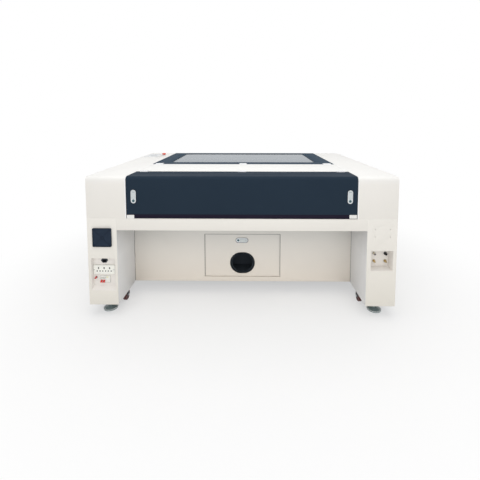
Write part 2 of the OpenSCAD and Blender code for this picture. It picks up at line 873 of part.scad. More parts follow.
module x_motor() {
    color([0.15, 0.15, 0.16]) difference() {
        union() {
            y_run(gantry_y0 - motor_l, gantry_y0) translate([-x_pulley_x, x_pulley_z])
                round_rect(motor_s, motor_s, 5);
            y_rod(gantry_y0, gantry_y0 + 15, -x_pulley_x, x_pulley_z, 7.5);
        }
        y_rod(gantry_y0 - 5, gantry_y0 + 16, -x_pulley_x, x_pulley_z, rod_r + fit_gap);
    }
}

module x_belt() {
    color([0.12, 0.12, 0.13]) y_run(gantry_y1 + 2, gantry_y1 + 2 + belt_w)
        belt_loop(-x_pulley_x, x_idler_x, x_pulley_z);
}

module x_pulley() {
    color([0.75, 0.76, 0.78]) {
        y_rod(gantry_y1 + 1, gantry_y1 + 3 + belt_w, -x_pulley_x, x_pulley_z, pulley_r);
        y_rod(gantry_y0 - 4, gantry_y1 + 1, -x_pulley_x, x_pulley_z, rod_r);
    }
}

module x_idler() {
    color([0.75, 0.76, 0.78]) difference() {
        y_rod(gantry_y1 + 1, gantry_y1 + 3 + belt_w, x_idler_x, x_pulley_z, pulley_r);
        y_rod(gantry_y1, gantry_y1 + 4 + belt_w, x_idler_x, x_pulley_z, rod_r + fit_gap);
    }
}

module head_carriage() {
    mid_y = (gantry_y0 + gantry_y1) / 2;
    color([0.25, 0.26, 0.28]) translate([head_x, 0, 0]) {
        // block on the X rail
        difference() {
            block([-35, mid_y - 17, x_rail_z + 4], [35, mid_y + 17, optic_z + 21]);
            block([-36, mid_y - x_rail_w / 2 - run_gap, x_rail_z],
                [36, mid_y + x_rail_w / 2 + run_gap, x_rail_z + x_rail_h + run_gap]);
        }
        block([-head_w / 2, mid_y + 17, optic_z + 11], [head_w / 2, plate_y + 8, optic_z + 21]);
        block([-head_w / 2, plate_y, gantry_z + 4], [head_w / 2, plate_y + 8, optic_z + 11]);
        block([-10, plate_y - 6 + run_gap, x_pulley_z + 10], [10, plate_y, x_pulley_z + 24]);
        // mirror box and the collar that guides the focus tube
        difference() {
            union() {
                block([-20, plate_y + 8, optic_z - 23], [20, head_y + 17, optic_z + 21]);
                z_rod(optic_z - 39, optic_z - 23, 0, head_y, 17);
            }
            z_rod(optic_z - 40, optic_z + 1, 0, head_y, focus_r + slide_gap);
            x_rod(0, 21, head_y, optic_z, 8);
            translate([-20, head_y, optic_z + 21]) rotate([0, 45, 0]) cube([24, 36, 24], center = true);
        }
    }
}

module focus_tube() {
    color([0.8, 0.8, 0.78]) translate([head_x, head_y, 0]) difference() {
        union() {
            translate([0, 0, nozzle_z + 14]) cylinder(optic_z - 13 - nozzle_z - 14, focus_r, focus_r);
            translate([0, 0, nozzle_z]) cylinder(14, 4, focus_r);
        }
        translate([0, 0, nozzle_z - 1]) cylinder(16, 1.5, 1.5);
        translate([0, 0, nozzle_z + 14]) cylinder(optic_z - nozzle_z, focus_r - 3, focus_r - 3);
    }
}

// ---- Cover, lid and their hinges ----

// Half of a hinge: leaf and knuckles. dir is the leaf's side in Y; middle picks the centre knuckle
module hinge_half(x, y, len, dir, middle) {
    third = hinge_w / 3;
    xs = middle ? [x - third / 2 + run_gap] : [x - hinge_w / 2, x + third / 2];
    w = middle ? third - 2 * run_gap : third;
    root = y + dir * (knuckle_r + 1);
    color([0.85, 0.85, 0.84]) {
        for (a = xs) difference() {
            union() {
                x_rod(a, a + w, y, hinge_z, knuckle_r);
                block([a, min(y, root), deck_z], [a + w, max(y, root), deck_z + leaf_t]);
            }
            x_rod(a - 1, a + w + 1, y, hinge_z, middle ? hinge_pin_r + fit_gap : hinge_pin_r - 0.4);
        }
        block([x - hinge_w / 2, min(root, y + dir * len), deck_z],
            [x + hinge_w / 2, max(root, y + dir * len), deck_z + leaf_t]);
        if (!middle) x_rod(x - hinge_w / 2, x + hinge_w / 2, y, hinge_z, hinge_pin_r);
    }
}

module hinge_leaves() {
    for (x = hinge_xs) {
        hinge_half(x, y_cover, cover_leaf, 1, false);
        hinge_half(x, y_lid, short_leaf, -1, false);
    }
}

module tube_cover() {
    cover_y1 = y_cover - edge_gap;
    cover_z0 = seam_z + panel_gap - 1;
    for (x = hinge_xs) hinge_half(x, y_cover, short_leaf, -1, true);
    color([0.18, 0.23, 0.28]) {
        x_run(-lid_x, lid_x) upper_band(sheet, y_rear, cover_y1, cover_z0);
        both_sides() x_run(lid_x - sheet, lid_x) upper_band(18, y_rear, cover_y1, cover_z0);
        block([-lid_x, y_rear, cover_z0], [lid_x, y_rear + 14, cover_z0 + sheet]);
    }
}

module lid_frame() {
    for (x = hinge_xs) hinge_half(x, y_lid, lid_leaf, 1, true);
    color([0.25, 0.32, 0.39]) {
        difference() {
            x_run(-lid_x, lid_x) upper_band(sheet, lid_y0, y_front, deck_z - front_skirt_h);
            translate([0, window_y, deck_z - sheet - 1]) linear_extrude(sheet + 2)
                round_rect(window_w, window_d, window_r);
        }
        both_sides() x_run(lid_x - sheet, lid_x)
            upper_band(skirt_h, lid_y0, y_front, deck_z - front_skirt_h);
        block([-lid_x, lid_y0, deck_z - skirt_h], [lid_x, lid_y0 + sheet, deck_z - sheet]);
        both_sides() x_rod(strut_x + strut_eye_w / 2 + run_gap, lid_x - sheet, strut_top[0],
            strut_top[1], stud_r);
        // grip along the front edge
        x_run(-120, 120) polygon([[y_front, deck_z - 46], [y_front + grip_out, deck_z - 40],
            [y_front + grip_out, deck_z - 36], [y_front, deck_z - 34]]);
    }
}

module lid_window() {
    color([0.5, 0.6, 0.66, 0.6]) translate([0, window_y, deck_z - sheet - pane_t]) linear_extrude(pane_t)
        round_rect(window_w + 2 * pane_lap, window_d + 2 * pane_lap, window_r + pane_lap);
}

// Strut pieces are drawn along +Y from the base pivot, then leaned to their angle
module on_strut(side) {
    translate([side * strut_x, strut_base[0], strut_base[1]]) rotate([strut_a, 0, 0]) children();
}

module strut_cylinder(side) {
    color([0.1, 0.1, 0.11]) on_strut(side) difference() {
        union() {
            x_rod(-strut_eye_w / 2, strut_eye_w / 2, 0, 0, 8);
            y_rod(6, 26, 0, 0, rod_r + 1);
            y_rod(20, cylinder_l, 0, 0, strut_r);
        }
        x_rod(-strut_eye_w, strut_eye_w, 0, 0, rod_r + fit_gap);
        y_rod(40, cylinder_l + 1, 0, 0, rod_r + slide_gap);
    }
}

module strut_rod(side) {
    color([0.8, 0.81, 0.83]) on_strut(side) {
        y_rod(60, strut_l - 4, 0, 0, rod_r);
        x_rod(-strut_eye_w / 2, strut_eye_w / 2, strut_l, 0, 7);
    }
}

// ---- Latches: drawn facing -Y with the long side upright ----

module paddle_outline(gap) {
    w = paddle_w + 2 * gap;
    translate([-w / 2, -paddle_l / 2 + paddle_w / 2]) square([w, paddle_l - paddle_w / 2 + 2 * gap]);
    translate([0, -paddle_l / 2 + paddle_w / 2]) circle(w / 2);
}

paddle_top = paddle_l / 2;
paddle_up = 11;      // the paddle sits above the middle, over the lock

module latch_bezel() {
    difference() {
        y_run(-latch_t, 0) stadium(latch_l, latch_w);
        translate([0, 0, paddle_up]) y_run(-latch_t - 1, -1) paddle_outline(run_gap);
        x_rod(-paddle_w / 2 - 3, paddle_w / 2 + 3, -2.5, paddle_up + paddle_top - 1, 0.95);
    }
    y_rod(-latch_t - 0.6, -latch_t, 0, -latch_l / 2 + 14, 6);
}

module latch_paddle() {
    translate([0, 0, paddle_up]) {
        difference() {
            y_run(-3.5, -1.5) paddle_outline(0);
            x_rod(-paddle_w / 2, paddle_w / 2, -3.5, -paddle_l / 2 + 8, 1);
        }
        x_rod(-paddle_w / 2 - 2.5, paddle_w / 2 + 2.5, -2.5, paddle_top - 1, 0.9);
    }
}

module cover_latch_bezels() {
    color([0.8, 0.81, 0.82]) for (s = [-1, 1])
        translate([s * cover_latch_x, y_rear, cover_latch_z]) latch_bezel();
}

module cover_latch(side) {
    color([0.7, 0.71, 0.73]) translate([side * cover_latch_x, y_rear, cover_latch_z]) latch_paddle();
}

// ---- Doors and drawer ----

module on_exhaust_latch() {
    translate([-4, exhaust_y, exhaust_z1 - 48]) rotate([0, 90, 0]) children();
}

module exhaust_door() {
    back = exhaust_y + sheet;
    color([0.8, 0.79, 0.77]) {
        difference() {
            y_run(exhaust_y, back) exhaust_outline(0);
            y_run(exhaust_y - 1, back + 1) exhaust_opening(0);
        }
        both_sides() {
            block([exhaust_door_w / 2 - sheet, back, exhaust_z0 + 1],
                [exhaust_door_w / 2, back + door_fold, exhaust_z1]);
            x_rod(exhaust_door_w / 2 - 2, exhaust_door_w / 2 + panel_gap + sheet, exhaust_pivot[0],
                exhaust_pivot[1], hinge_pin_r);
        }
        block([-exhaust_door_w / 2, back, exhaust_z1 - sheet],
            [exhaust_door_w / 2, back + door_fold, exhaust_z1]);
        // raised rim round the opening
        y_run(exhaust_y - rim_t, exhaust_y) difference() {
            exhaust_opening(rim_w);
            exhaust_opening(0);
        }
    }
    color([0.8, 0.81, 0.82]) on_exhaust_latch() latch_bezel();
}

module exhaust_door_latch() {
    color([0.7, 0.71, 0.73]) on_exhaust_latch() latch_paddle();
}

module front_door() {
    color([0.9, 0.89, 0.87]) {
        block([-lid_x, y_front - sheet, door_z0], [lid_x, y_front, door_z1]);
        both_sides() {
            block([lid_x - sheet, y_front - 12, door_z0 + 1], [lid_x, y_front - sheet, door_z1]);
            x_rod(lid_x - sheet, bay_x + sheet, door_pivot[0], door_pivot[1], hinge_pin_r);
        }
        block([-lid_x, y_front - 12, door_z1 - sheet], [lid_x, y_front - sheet, door_z1]);
        x_run(-90, 90) polygon([[y_front, door_z1 - 22], [y_front + grip_out, door_z1 - 28],
            [y_front + grip_out, door_z1 - 32], [y_front, door_z1 - 34]]);
    }
}

module scrap_drawer() {
    color([0.85, 0.84, 0.82]) {
        difference() {
            block([-drawer_w / 2, drawer_y0, drawer_z], [drawer_w / 2, y_front, drawer_z + drawer_h]);
            block([-drawer_w / 2 + sheet, drawer_y0 + sheet, drawer_z + sheet],
                [drawer_w / 2 - sheet, y_front - sheet, drawer_z + drawer_h + 1]);
        }
        x_run(-90, 90) polygon([[y_front, drawer_z + 96], [y_front + grip_out, drawer_z + 90],
            [y_front + grip_out, drawer_z + 86], [y_front, drawer_z + 84]]);
    }
}

// ---- Electrical and water pieces ----

module cabinet_electronics() {
    color([0.6, 0.62, 0.64]) {
        block([-body_x + 20, y_rear + 170, base_z + bar],
            [-pillar_x - 20, y_rear + 470, base_z + bar + 180]);
        block([-body_x + 30, y_rear + 520, base_z + bar],
            [-pillar_x - 40, y_rear + 760, base_z + bar + 110]);
    }
}

// Ribs of the fan guard: an X with a round boss
module guard_ribs(reach) {
    intersection() {
        square(reach, center = true);
        for (a = [45, -45]) rotate(a) square([2 * reach, guard_rib], center = true);
    }
    circle(boss_r);
}

module fan_grille() {
    inner = guard_w - 2 * guard_lip;
    inner_r = guard_r - guard_lip / 2;
    color([0.13, 0.16, 0.2]) {
        translate([fan_x, 0, fan_z]) {
            y_run(y_rear - guard_t, y_rear) difference() {
                round_rect(guard_w, guard_w, guard_r);
                round_rect(inner, inner, inner_r);
            }
            // filter mat and the ribs across it
            y_run(y_rear - mat_y, y_rear - mat_y + mat_t) round_rect(inner + 2, inner + 2, inner_r);
            y_run(y_rear - mat_y - 2, y_rear - mat_y) guard_ribs(inner + 2);
            // fan housing behind the sheet, with its hub and spokes
            y_run(y_rear + sheet, y_rear + sheet + fan_d) difference() {
                round_rect(fan_s, fan_s, guard_r);
                circle(fan_r);
            }
            y_run(y_rear + sheet + fan_d - 5, y_rear + sheet + fan_d) {
                circle(hub_r);
                intersection() {
                    circle(fan_r + 1);
                    for (a = [0, 120, 240]) rotate(a) translate([0, -3]) square([fan_r + 1, 6]);
                }
            }
        }
        y_rod(y_rear + sheet + 4, y_rear + sheet + fan_d, fan_x, fan_z, fan_pin_r);
    }
}

module fan_rotor() {
    y0 = y_rear + sheet + 4;
    y1 = y_rear + sheet + fan_d - 5 - run_gap;
    color([0.08, 0.08, 0.09]) difference() {
        union() {
            y_rod(y0, y1, fan_x, fan_z, hub_r);
            for (i = [0:blade_n - 1])
                translate([fan_x, (y0 + y1) / 2, fan_z]) rotate([0, 360 * i / blade_n, 0])
                    translate([hub_r - 2, 0, 0]) rotate([40, 0, 0]) translate([0, -1, -14])
                        cube([fan_r - hub_r - 3, 2, 28]);
        }
        y_rod(y0 - 1, y1 + 1, fan_x, fan_z, fan_pin_r + fit_gap);
    }
}

// Openings of one outlet, seen from the rear: an upright earth slot over two more
module outlet_slots() {
    translate([0, 11]) square(earth_slot, center = true);
    for (x = [-10, 10]) translate([x, -10]) square(live_slot, center = true);
}

module mains_sockets() {
    color([0.14, 0.15, 0.17]) translate([inlet_x, 0, inlet_z]) {
        difference() {
            union() {
                y_run(power_y - inlet_t, power_y) polygon(inlet_outline);
                y_run(power_y, power_y + 22) square(inlet_body, center = true);
            }
            y_run(power_y - inlet_t - 1, power_y + 12) square(inlet_bore, center = true);
        }
        for (x = [-7, 0, 7]) translate([x, 0, x == 0 ? 3 : 0])
            y_run(power_y - 2, power_y + 12) square([2, 4], center = true);
    }
    color([0.92, 0.92, 0.88]) translate([socket_x, 0, socket_z]) difference() {
        y_run(power_y - socket_t, power_y) round_rect(socket_w, socket_h, 4);
        y_run(power_y - socket_t - 1, power_y - socket_t + slot_d)
            for (i = [-1:1]) translate([i * socket_pitch, 0]) outlet_slots();
    }
    // fuse holder with its cap
    color([0.75, 0.1, 0.08]) {
        y_rod(power_y - 4, power_y, fuse_x, fuse_z, 7);
        y_rod(power_y - 20, power_y - 4, fuse_x, fuse_z, 5.5);
    }
}

function lever_px(i) = breaker_x - 25 + i * lever_pitch;

module breaker() {
    color([0.88, 0.89, 0.9]) difference() {
        union() {
            block([breaker_x - breaker_w / 2, power_y - breaker_t, breaker_z - breaker_h / 2],
                [breaker_x + breaker_w / 2, power_y + sheet, breaker_z + breaker_h / 2]);
            block([breaker_x - breaker_w / 2, power_y + sheet, breaker_z - breaker_body_h / 2],
                [breaker_x + breaker_w / 2, power_y + sheet + breaker_body_d,
                    breaker_z + breaker_body_h / 2]);
        }
        // slots where the levers turn, and their pin's bore
        for (i = [0, 1])
            translate([lever_px(i) - lever_w / 2 - run_gap, power_y - breaker_t - 1,
                lever_z - lever_slot / 2]) cube([lever_w + 2 * run_gap, 13, lever_slot]);
        x_rod(lever_px(0) - lever_w / 2 - 2, lever_px(1) + lever_w / 2 + 2, lever_y, lever_z,
            lever_pin_r + fit_gap);
    }
}

module breaker_levers() {
    color([0.8, 0.1, 0.08]) {
        for (i = [0, 1])
            x_rod(lever_px(i) - lever_w / 2, lever_px(i) + lever_w / 2, lever_y, lever_z, lever_hub_r);
        translate([0, lever_y, lever_z]) rotate([lever_down, 0, 0]) translate([0, 0, -2.5])
            linear_extrude(5) {
                for (i = [0, 1]) translate([lever_px(i), 0]) polygon([[-4, -2], [4, -2],
                    [lever_w / 2 - 0.5, 1 - lever_l], [0.5 - lever_w / 2, 1 - lever_l]]);
                // bar that ties the levers together
                translate([lever_px(0) - lever_w / 2, -lever_l]) square([lever_w + lever_pitch, 4]);
            }
        x_rod(lever_px(0) - lever_w / 2 - 1.7, lever_px(1) + lever_w / 2 + 1.7, lever_y, lever_z,
            lever_pin_r);
    }
}

module hose_barb(x, z) {
    translate([x, water_y, z]) rotate([90, 0, 0]) difference() {
        union() {
            cylinder(5, 10, 10, $fn = 6);
            cylinder(barb_l, barb_r, barb_r);
            for (i = [0:2]) translate([0, 0, 8 + 4.5 * i]) cylinder(3.5, barb_r + 1.2, barb_r);
        }
        translate([0, 0, 2]) cylinder(barb_l, barb_r - 2, barb_r - 2);
    }
}

module service_fittings() {
    color([0.72, 0.55, 0.25]) for (x = fitting_xs) hose_barb(x, fitting_zs[0]);
    color([0.85, 0.86, 0.87]) translate([fitting_xs[0], water_y, fitting_zs[1]]) rotate([90, 0, 0])
        difference() {
            union() {
                cylinder(8, 9, 9);
                translate([0, 0, 8]) cylinder(12, 7, 7);
            }
            translate([0, 0, 8]) cylinder(13, 4, 4);
        }
    color([0.1, 0.1, 0.11]) translate([fitting_xs[1], water_y, fitting_zs[1]]) rotate([90, 0, 0])
        difference() {
            union() {
                cylinder(5, 12, 12, $fn = 6);
                translate([0, 0, 5]) cylinder(15, 10, 8);
            }
            translate([0, 0, 2]) cylinder(20, 5, 5);
        }
}

module control_panel() {
    color([0.86, 0.87, 0.87]) {
        translate([console_x, console_y, 0]) difference() {
            translate([0, 0, deck_z]) linear_extrude(console_t) round_rect(console_w, console_d, 10);
            translate([0, -45, deck_z + console_t - 1.5]) linear_extrude(3)
                round_rect(screen_w, screen_d, 4);
        }
        difference() {
            z_rod(deck_z, deck_z + collar_h, estop_x, estop_y, collar_r);
            z_rod(deck_z - 1, deck_z + collar_h + 1, estop_x, estop_y, stem_r + fit_gap);
        }
    }
}

module estop_button() {
    z0 = deck_z + collar_h + estop_travel + run_gap;
    color([0.8, 0.08, 0.06]) {
        z_rod(z0, z0 + 8, estop_x, estop_y, estop_r);
        translate([estop_x, estop_y, z0 + 8]) cylinder(5, estop_r, estop_r - 6);
        z_rod(deck_z - 6, z0, estop_x, estop_y, stem_r);
    }
}

chassis_frame();
power_side_housing();
water_side_housing();
power_side_top();
water_side_top();
rear_deck();
rear_beam();
rear_panel();
front_panel();
chamber_walls();
bed_frame();
bed_slats();
y_rails();
y_belts();
y_motor();
laser_tube();
tube_mounts();
first_mirror();
cabinet_electronics();
exhaust_plenum();
fan_grille();
mains_sockets();
breaker();
service_fittings();
control_panel();
levelling_feet();
hinge_leaves();
lid_frame();
lid_window();
strut_cylinder(-1);  // strut_cylinder_l
strut_cylinder(1);  // strut_cylinder_r
strut_rod(-1);  // strut_rod_l
strut_rod(1);  // strut_rod_r
tube_cover();
cover_latch_bezels();
cover_latch(-1);  // cover_latch_l
cover_latch(1);  // cover_latch_r
exhaust_door();
exhaust_door_latch();
front_door();
scrap_drawer();
gantry_beam();
x_belt();
x_motor();
second_mirror();
head_carriage();
focus_tube();
x_pulley();
x_idler();
y_shaft();
y_idlers();
fan_rotor();
estop_button();
breaker_levers();
castor_fork(-1);  // castor_fork_l
castor_fork(1);  // castor_fork_r
castor_wheel(-1, castor_rear_y);  // wheel_rear_l
castor_wheel(1, castor_rear_y);  // wheel_rear_r
castor_wheel(-1, castor_front_y + castor_trail);  // wheel_front_l
castor_wheel(1, castor_front_y + castor_trail);  // wheel_front_r
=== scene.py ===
"""Looks of the laser cutting machine, built around its packed CAD frame."""

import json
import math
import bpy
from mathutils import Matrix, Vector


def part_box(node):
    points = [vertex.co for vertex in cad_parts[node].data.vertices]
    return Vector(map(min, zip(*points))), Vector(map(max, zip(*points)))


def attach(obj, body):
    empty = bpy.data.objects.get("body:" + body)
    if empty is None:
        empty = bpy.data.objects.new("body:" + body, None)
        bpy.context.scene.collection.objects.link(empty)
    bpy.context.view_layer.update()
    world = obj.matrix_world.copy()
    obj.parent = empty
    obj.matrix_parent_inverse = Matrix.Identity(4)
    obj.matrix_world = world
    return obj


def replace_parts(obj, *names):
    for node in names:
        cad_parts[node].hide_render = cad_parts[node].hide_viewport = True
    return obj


bl_info = {
    "name": "Laser Cutting Machine",
    "version": (1, 1, 0),
    "blender": (4, 5, 0),
    "location": "3D View > Sidebar > Laser Cutter",
    "description": "Finishes and fine pieces of a gantry laser cutting machine",
    "category": "Object",
}

import bmesh
import bpy
from bpy.props import FloatProperty, FloatVectorProperty, IntProperty, PointerProperty
from mathutils import Matrix, Vector

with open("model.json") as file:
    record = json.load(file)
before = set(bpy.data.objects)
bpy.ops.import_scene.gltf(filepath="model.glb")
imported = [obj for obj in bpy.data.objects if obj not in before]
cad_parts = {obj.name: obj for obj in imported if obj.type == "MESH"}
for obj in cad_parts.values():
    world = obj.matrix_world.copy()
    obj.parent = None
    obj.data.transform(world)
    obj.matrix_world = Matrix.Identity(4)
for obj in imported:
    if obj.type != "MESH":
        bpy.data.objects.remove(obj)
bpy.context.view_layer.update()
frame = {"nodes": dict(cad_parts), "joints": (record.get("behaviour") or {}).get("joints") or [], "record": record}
NODES = frame["nodes"]
JOINTS = {joint["name"]: joint for joint in frame["joints"]}
MM = 0.001
UP = Vector((0, 0, 1))
REARWARD = Vector((0, -1, 0))
FORWARD = Vector((0, 1, 0))
ACROSS = Vector((1, 0, 0))
SIDES = (-1, 1)


# ---- Places, read from the frame ----


BOXES = {node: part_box(node) for node in NODES}


def low(node):
    return BOXES[node][0]


def high(node):
    return BOXES[node][1]


def middle(node):
    return (low(node) + high(node)) / 2


def anchor(joint):
    return Vector(JOINTS[joint]["pos_m"])


REAR = low("power_side_top").y
FRONT = high("power_side_top").y
SEAM = low("power_side_top").z
DECK = high("rear_deck").z
SIDE = high("water_side_top").x
BAY = high("rear_deck").x
PILLAR = high("rear_panel").x
PANEL = low("rear_panel").y


# ---- Settings ----


def colour(label, rgb):
    return FloatVectorProperty(name=label, description=label + " in linear light", subtype="COLOR",
                               size=3, min=0.0, max=1.0, default=rgb)


def length(label, value, least=0.0, most=5.0):
    return FloatProperty(name=label, description=label + " in metres", subtype="DISTANCE",
                         unit="LENGTH", default=value, min=least, max=most)


def number(label, value, least=0.0):
    return FloatProperty(name=label, description=label, default=value, min=least)


def angle(label, degrees):
    return FloatProperty(name=label, description=label + " of the camera", subtype="ANGLE",
                         default=math.radians(degrees))


class CutterColours(bpy.types.PropertyGroup):
    """Paint and trim colours, some of them painted light, shade and highlights."""
    # The three body whites grade the paint with height as painted light and shade: lightest at the deck, darker
    # and warmer towards the floor.
    body_high: colour("Body white at deck level", (0.90, 0.89, 0.865))
    body_mid: colour("Body white at the beam", (0.86, 0.835, 0.79))
    body_low: colour("Body white at the floor", (0.82, 0.785, 0.71))
    # The two recess whites are painted shade: greyer and darker under the beam, lighter and warmer at the floor.
    recess_high: colour("Recess panel white under the beam", (0.68, 0.685, 0.67))
    recess_low: colour("Recess panel white at the floor", (0.88, 0.81, 0.72))
    # The reveal white is painted darker towards its top, as shade under the beam.
    reveal: colour("White of the recess's sides", (0.86, 0.86, 0.86))
    # The pockets' white is set darker and warmer as painted shade inside the pockets.
    pocket: colour("White inside the pockets", (0.84, 0.805, 0.76))
    deck: colour("Deck white", (0.91, 0.905, 0.88))
    # The bright trim colour is a painted edge highlight, on the strips beside the cover and deck and on the feet's
    # rings.
    trim: colour("Bright painted edge highlight", (0.95, 0.95, 0.945))
    slate: colour("Cover slate", (0.020, 0.034, 0.053))
    # The hem colour is painted shade along the foot of the cover.
    hem: colour("Cover hem", (0.016, 0.013, 0.026))
    lid: colour("Lid slate", (0.030, 0.055, 0.084))
    pane: colour("Window tint", (0.10, 0.16, 0.22))
    red: colour("Signal red", (0.62, 0.03, 0.02))
    castor: colour("Castor maroon", (0.09, 0.018, 0.016))
    label: colour("Blank label", (0.84, 0.83, 0.80))


class CutterSizes(bpy.types.PropertyGroup):
    """Sizes of the fine pieces."""
    edge_round: length("Rounding of sheet edges", 0.0008, most=0.005)
    label_w: length("Width of the blank labels", 0.050, 0.02, 0.1)
    label_h: length("Height of the blank labels", 0.025, 0.01, 0.06)
    # The cover's dark hem is a band of painted shade.
    hem_h: length("Height of the cover's dark hem", 0.027, 0.01, 0.05)
    # The bright trim beside the cover is a strip of painted edge highlight.
    trim_w: length("Width of the bright trim beside the cover", 0.006, 0.002, 0.01)
    screw_r: length("Radius of the small screw heads", 0.0035, 0.001, 0.01)
    screw_pitch: length("Greatest distance between panel screws", 0.18, 0.05, 0.5)
    tooth_pitch: length("Pitch of the belts' teeth", 0.005, 0.002, 0.01)
    spiral_turns: IntProperty(name="Turns of the tube's gas return",
                              description="Turns of the glass spiral in the laser tube",
                              default=26, min=4, max=60)


class CutterStage(bpy.types.PropertyGroup):
    """Camera and light."""
    camera_x: length("Camera place across the machine", 0.0487, -5.0)
    camera_y: length("Camera place behind the machine", -2.8033, -10.0)
    camera_z: length("Camera height above the floor", 1.3551)
    pitch: angle("Downward tilt", 4.297)
    turn: angle("Turn to the left", 0.627)
    lens: number("Focal length in millimetres", 23.34)
    shift_x: number("Sideways lens shift", -0.0111, -1.0)
    shift_y: number("Vertical lens shift", -0.2019, -1.0)
    glow: number("Whiteness of the floor beside the machine", 0.5)
    sky: number("Strength of the surrounding light", 0.60)
    key: number("Power of the overhead light in watts", 68.0)
    fill: number("Power of the rear light in watts", 66.0)


def colours():
    return bpy.context.scene.cutter_colours


def sizes():
    return bpy.context.scene.cutter_sizes


# ---- Finishes ----


class Finish:
    """A node material on one Principled shader, with helpers for grain and bump."""

    def __init__(self, name, rgb, rough, metal=0.0, specular=0.5):
        self.material = bpy.data.materials.new(name)
        self.material.use_nodes = True
        self.tree = self.material.node_tree
        self.shader = self.tree.nodes["Principled BSDF"]
        self.rgb = tuple(rgb)
        self.rough = rough
        self.set(Base_Color=(*rgb, 1.0), Roughness=rough, Metallic=metal,
                 Specular_IOR_Level=specular)
        self.coords = self.tree.nodes.new("ShaderNodeTexCoord")

    def set(self, **values):
        for key, value in values.items():
            self.shader.inputs[key.replace("_", " ")].default_value = value

    def node(self, kind, **inputs):
        made = self.tree.nodes.new(kind)
        for key, value in inputs.items():
            made.inputs[key.replace("_", " ")].default_value = value
        return made

    def link(self, source, output, target, socket):
        self.tree.links.new(source.outputs[output], target.inputs[socket])

    def noise(self, scale, detail=4.0, stretch=(1.0, 1.0, 1.0)):
        mapping = self.node("ShaderNodeMapping", Scale=stretch)
        self.link(self.coords, "Object", mapping, "Vector")
        noise = self.node("ShaderNodeTexNoise", Scale=scale, Detail=detail)
        self.link(mapping, "Vector", noise, "Vector")
        return noise

    def along(self, axis, start, end):
        """From 0 to 1 between two places along an axis of the machine."""
        split = self.node("ShaderNodeSeparateXYZ")
        self.link(self.coords, "Object", split, "Vector")
        span = self.node("ShaderNodeMapRange")
        span.inputs["From Min"].default_value = start
        span.inputs["From Max"].default_value = end
        self.link(split, axis, span, "Value")
        return span

    def ramp(self, source, output, stops):
        ramp = self.tree.nodes.new("ShaderNodeValToRGB")
        while len(ramp.color_ramp.elements) < len(stops):
            ramp.color_ramp.elements.new(0.5)
        for element, (place, rgb) in zip(ramp.color_ramp.elements, stops):
            element.position = place
            element.color = (*rgb, 1.0)
        self.link(source, output, ramp, "Fac")
        return ramp

    def mottle(self, spread, noise, base=None):
        """Varies the base colour, or another node's colour, a little by a noise."""
        shade = self.ramp(noise, "Fac", [(0.3, (1.0 - spread,) * 3), (0.7, (1.0,) * 3)])
        mix = self.tree.nodes.new("ShaderNodeMix")
        mix.data_type = "RGBA"
        mix.blend_type = "MULTIPLY"
        mix.inputs["Factor"].default_value = 1.0
        if base:
            self.tree.links.new(base.outputs["Color"], mix.inputs[6])
        else:
            mix.inputs[6].default_value = (*self.rgb, 1.0)
        self.tree.links.new(shade.outputs["Color"], mix.inputs[7])
        self.tree.links.new(mix.outputs[2], self.shader.inputs["Base Color"])

    def worn(self, under, over, scale=14.0, detail=5.0):
        """Roughness that wanders a little round its value."""
        span = self.node("ShaderNodeMapRange")
        span.inputs["To Min"].default_value = self.rough - under
        span.inputs["To Max"].default_value = self.rough + over
        self.link(self.noise(scale, detail), "Fac", span, "Value")
        self.link(span, "Result", self.shader, "Roughness")

    def bump(self, source, strength, distance, output="Fac"):
        bump = self.node("ShaderNodeBump", Strength=strength, Distance=distance)
        self.link(source, output, bump, "Height")
        self.link(bump, "Normal", self.shader, "Normal")


def sprayed(finish, spread, tone=None):
    """Gives a finish the faint cloudiness and fine orange-peel skin of powder paint."""
    finish.mottle(spread, finish.noise(3.0, 3.0), tone)
    finish.worn(0.05, 0.07)
    finish.bump(finish.noise(420.0, 2.0), 0.12, 0.0003)
    return finish.material


def powder_coat(name, rgb, rough=0.5, spread=0.03, specular=0.35):
    """Sprayed powder paint of one tone."""
    return sprayed(Finish(name, rgb, rough, specular=specular), spread)


def graded_coat(name, low_z, high_z, stops, rough=0.5, spread=0.02, specular=0.3):
    """Powder paint whose tone changes between two heights: painted light and shade on the body, recess and
    reveals, real two-tone paint on the breaker levers.
    """
    finish = Finish(name, stops[-1][1], rough, specular=specular)
    height = finish.along("Z", low_z, high_z)
    return sprayed(finish, spread, finish.ramp(height, "Result", stops))


def brushed(name, rgb, rough=0.3, along=(1.0, 60.0, 60.0)):
    """Metal with a fine grain drawn out along one direction."""
    finish = Finish(name, rgb, rough, 1.0)
    grain = finish.noise(40.0, 6.0, along)
    finish.mottle(0.15, grain)
    finish.worn(0.06, 0.1)
    finish.bump(grain, 0.08, 0.0002)
    return finish.material


def moulded(name, rgb, rough=0.5, spark=0.15, specular=0.5):
    """Moulded plastic with a fine spark-eroded texture."""
    finish = Finish(name, rgb, rough, specular=specular)
    finish.mottle(0.05, finish.noise(30.0, 3.0))
    finish.worn(0.06, 0.06)
    finish.bump(finish.noise(900.0, 2.0), spark, 0.0002)
    return finish.material


def polished(name, rgb, rough=0.12):
    """Plated metal with faint handling marks."""
    finish = Finish(name, rgb, rough, 1.0)
    finish.mottle(0.08, finish.noise(60.0, 6.0, (1.0, 1.0, 6.0)))
    finish.worn(0.03, 0.08)
    return finish.material


def filter_foam(name, rgb):
    """Open-cell foam behind the fan guard's ribs."""
    finish = Finish(name, rgb, 0.85, specular=0.2)
    cells = finish.node("ShaderNodeTexVoronoi", Scale=700.0)
    finish.link(finish.coords, "Object", cells, "Vector")
    pores = finish.ramp(cells, "Distance", [(0.1, rgb), (0.55, [1.5 * c for c in rgb])])
    finish.mottle(0.1, finish.noise(40.0, 3.0), pores)
    finish.bump(cells, 0.6, 0.0008, "Distance")
    return finish.material


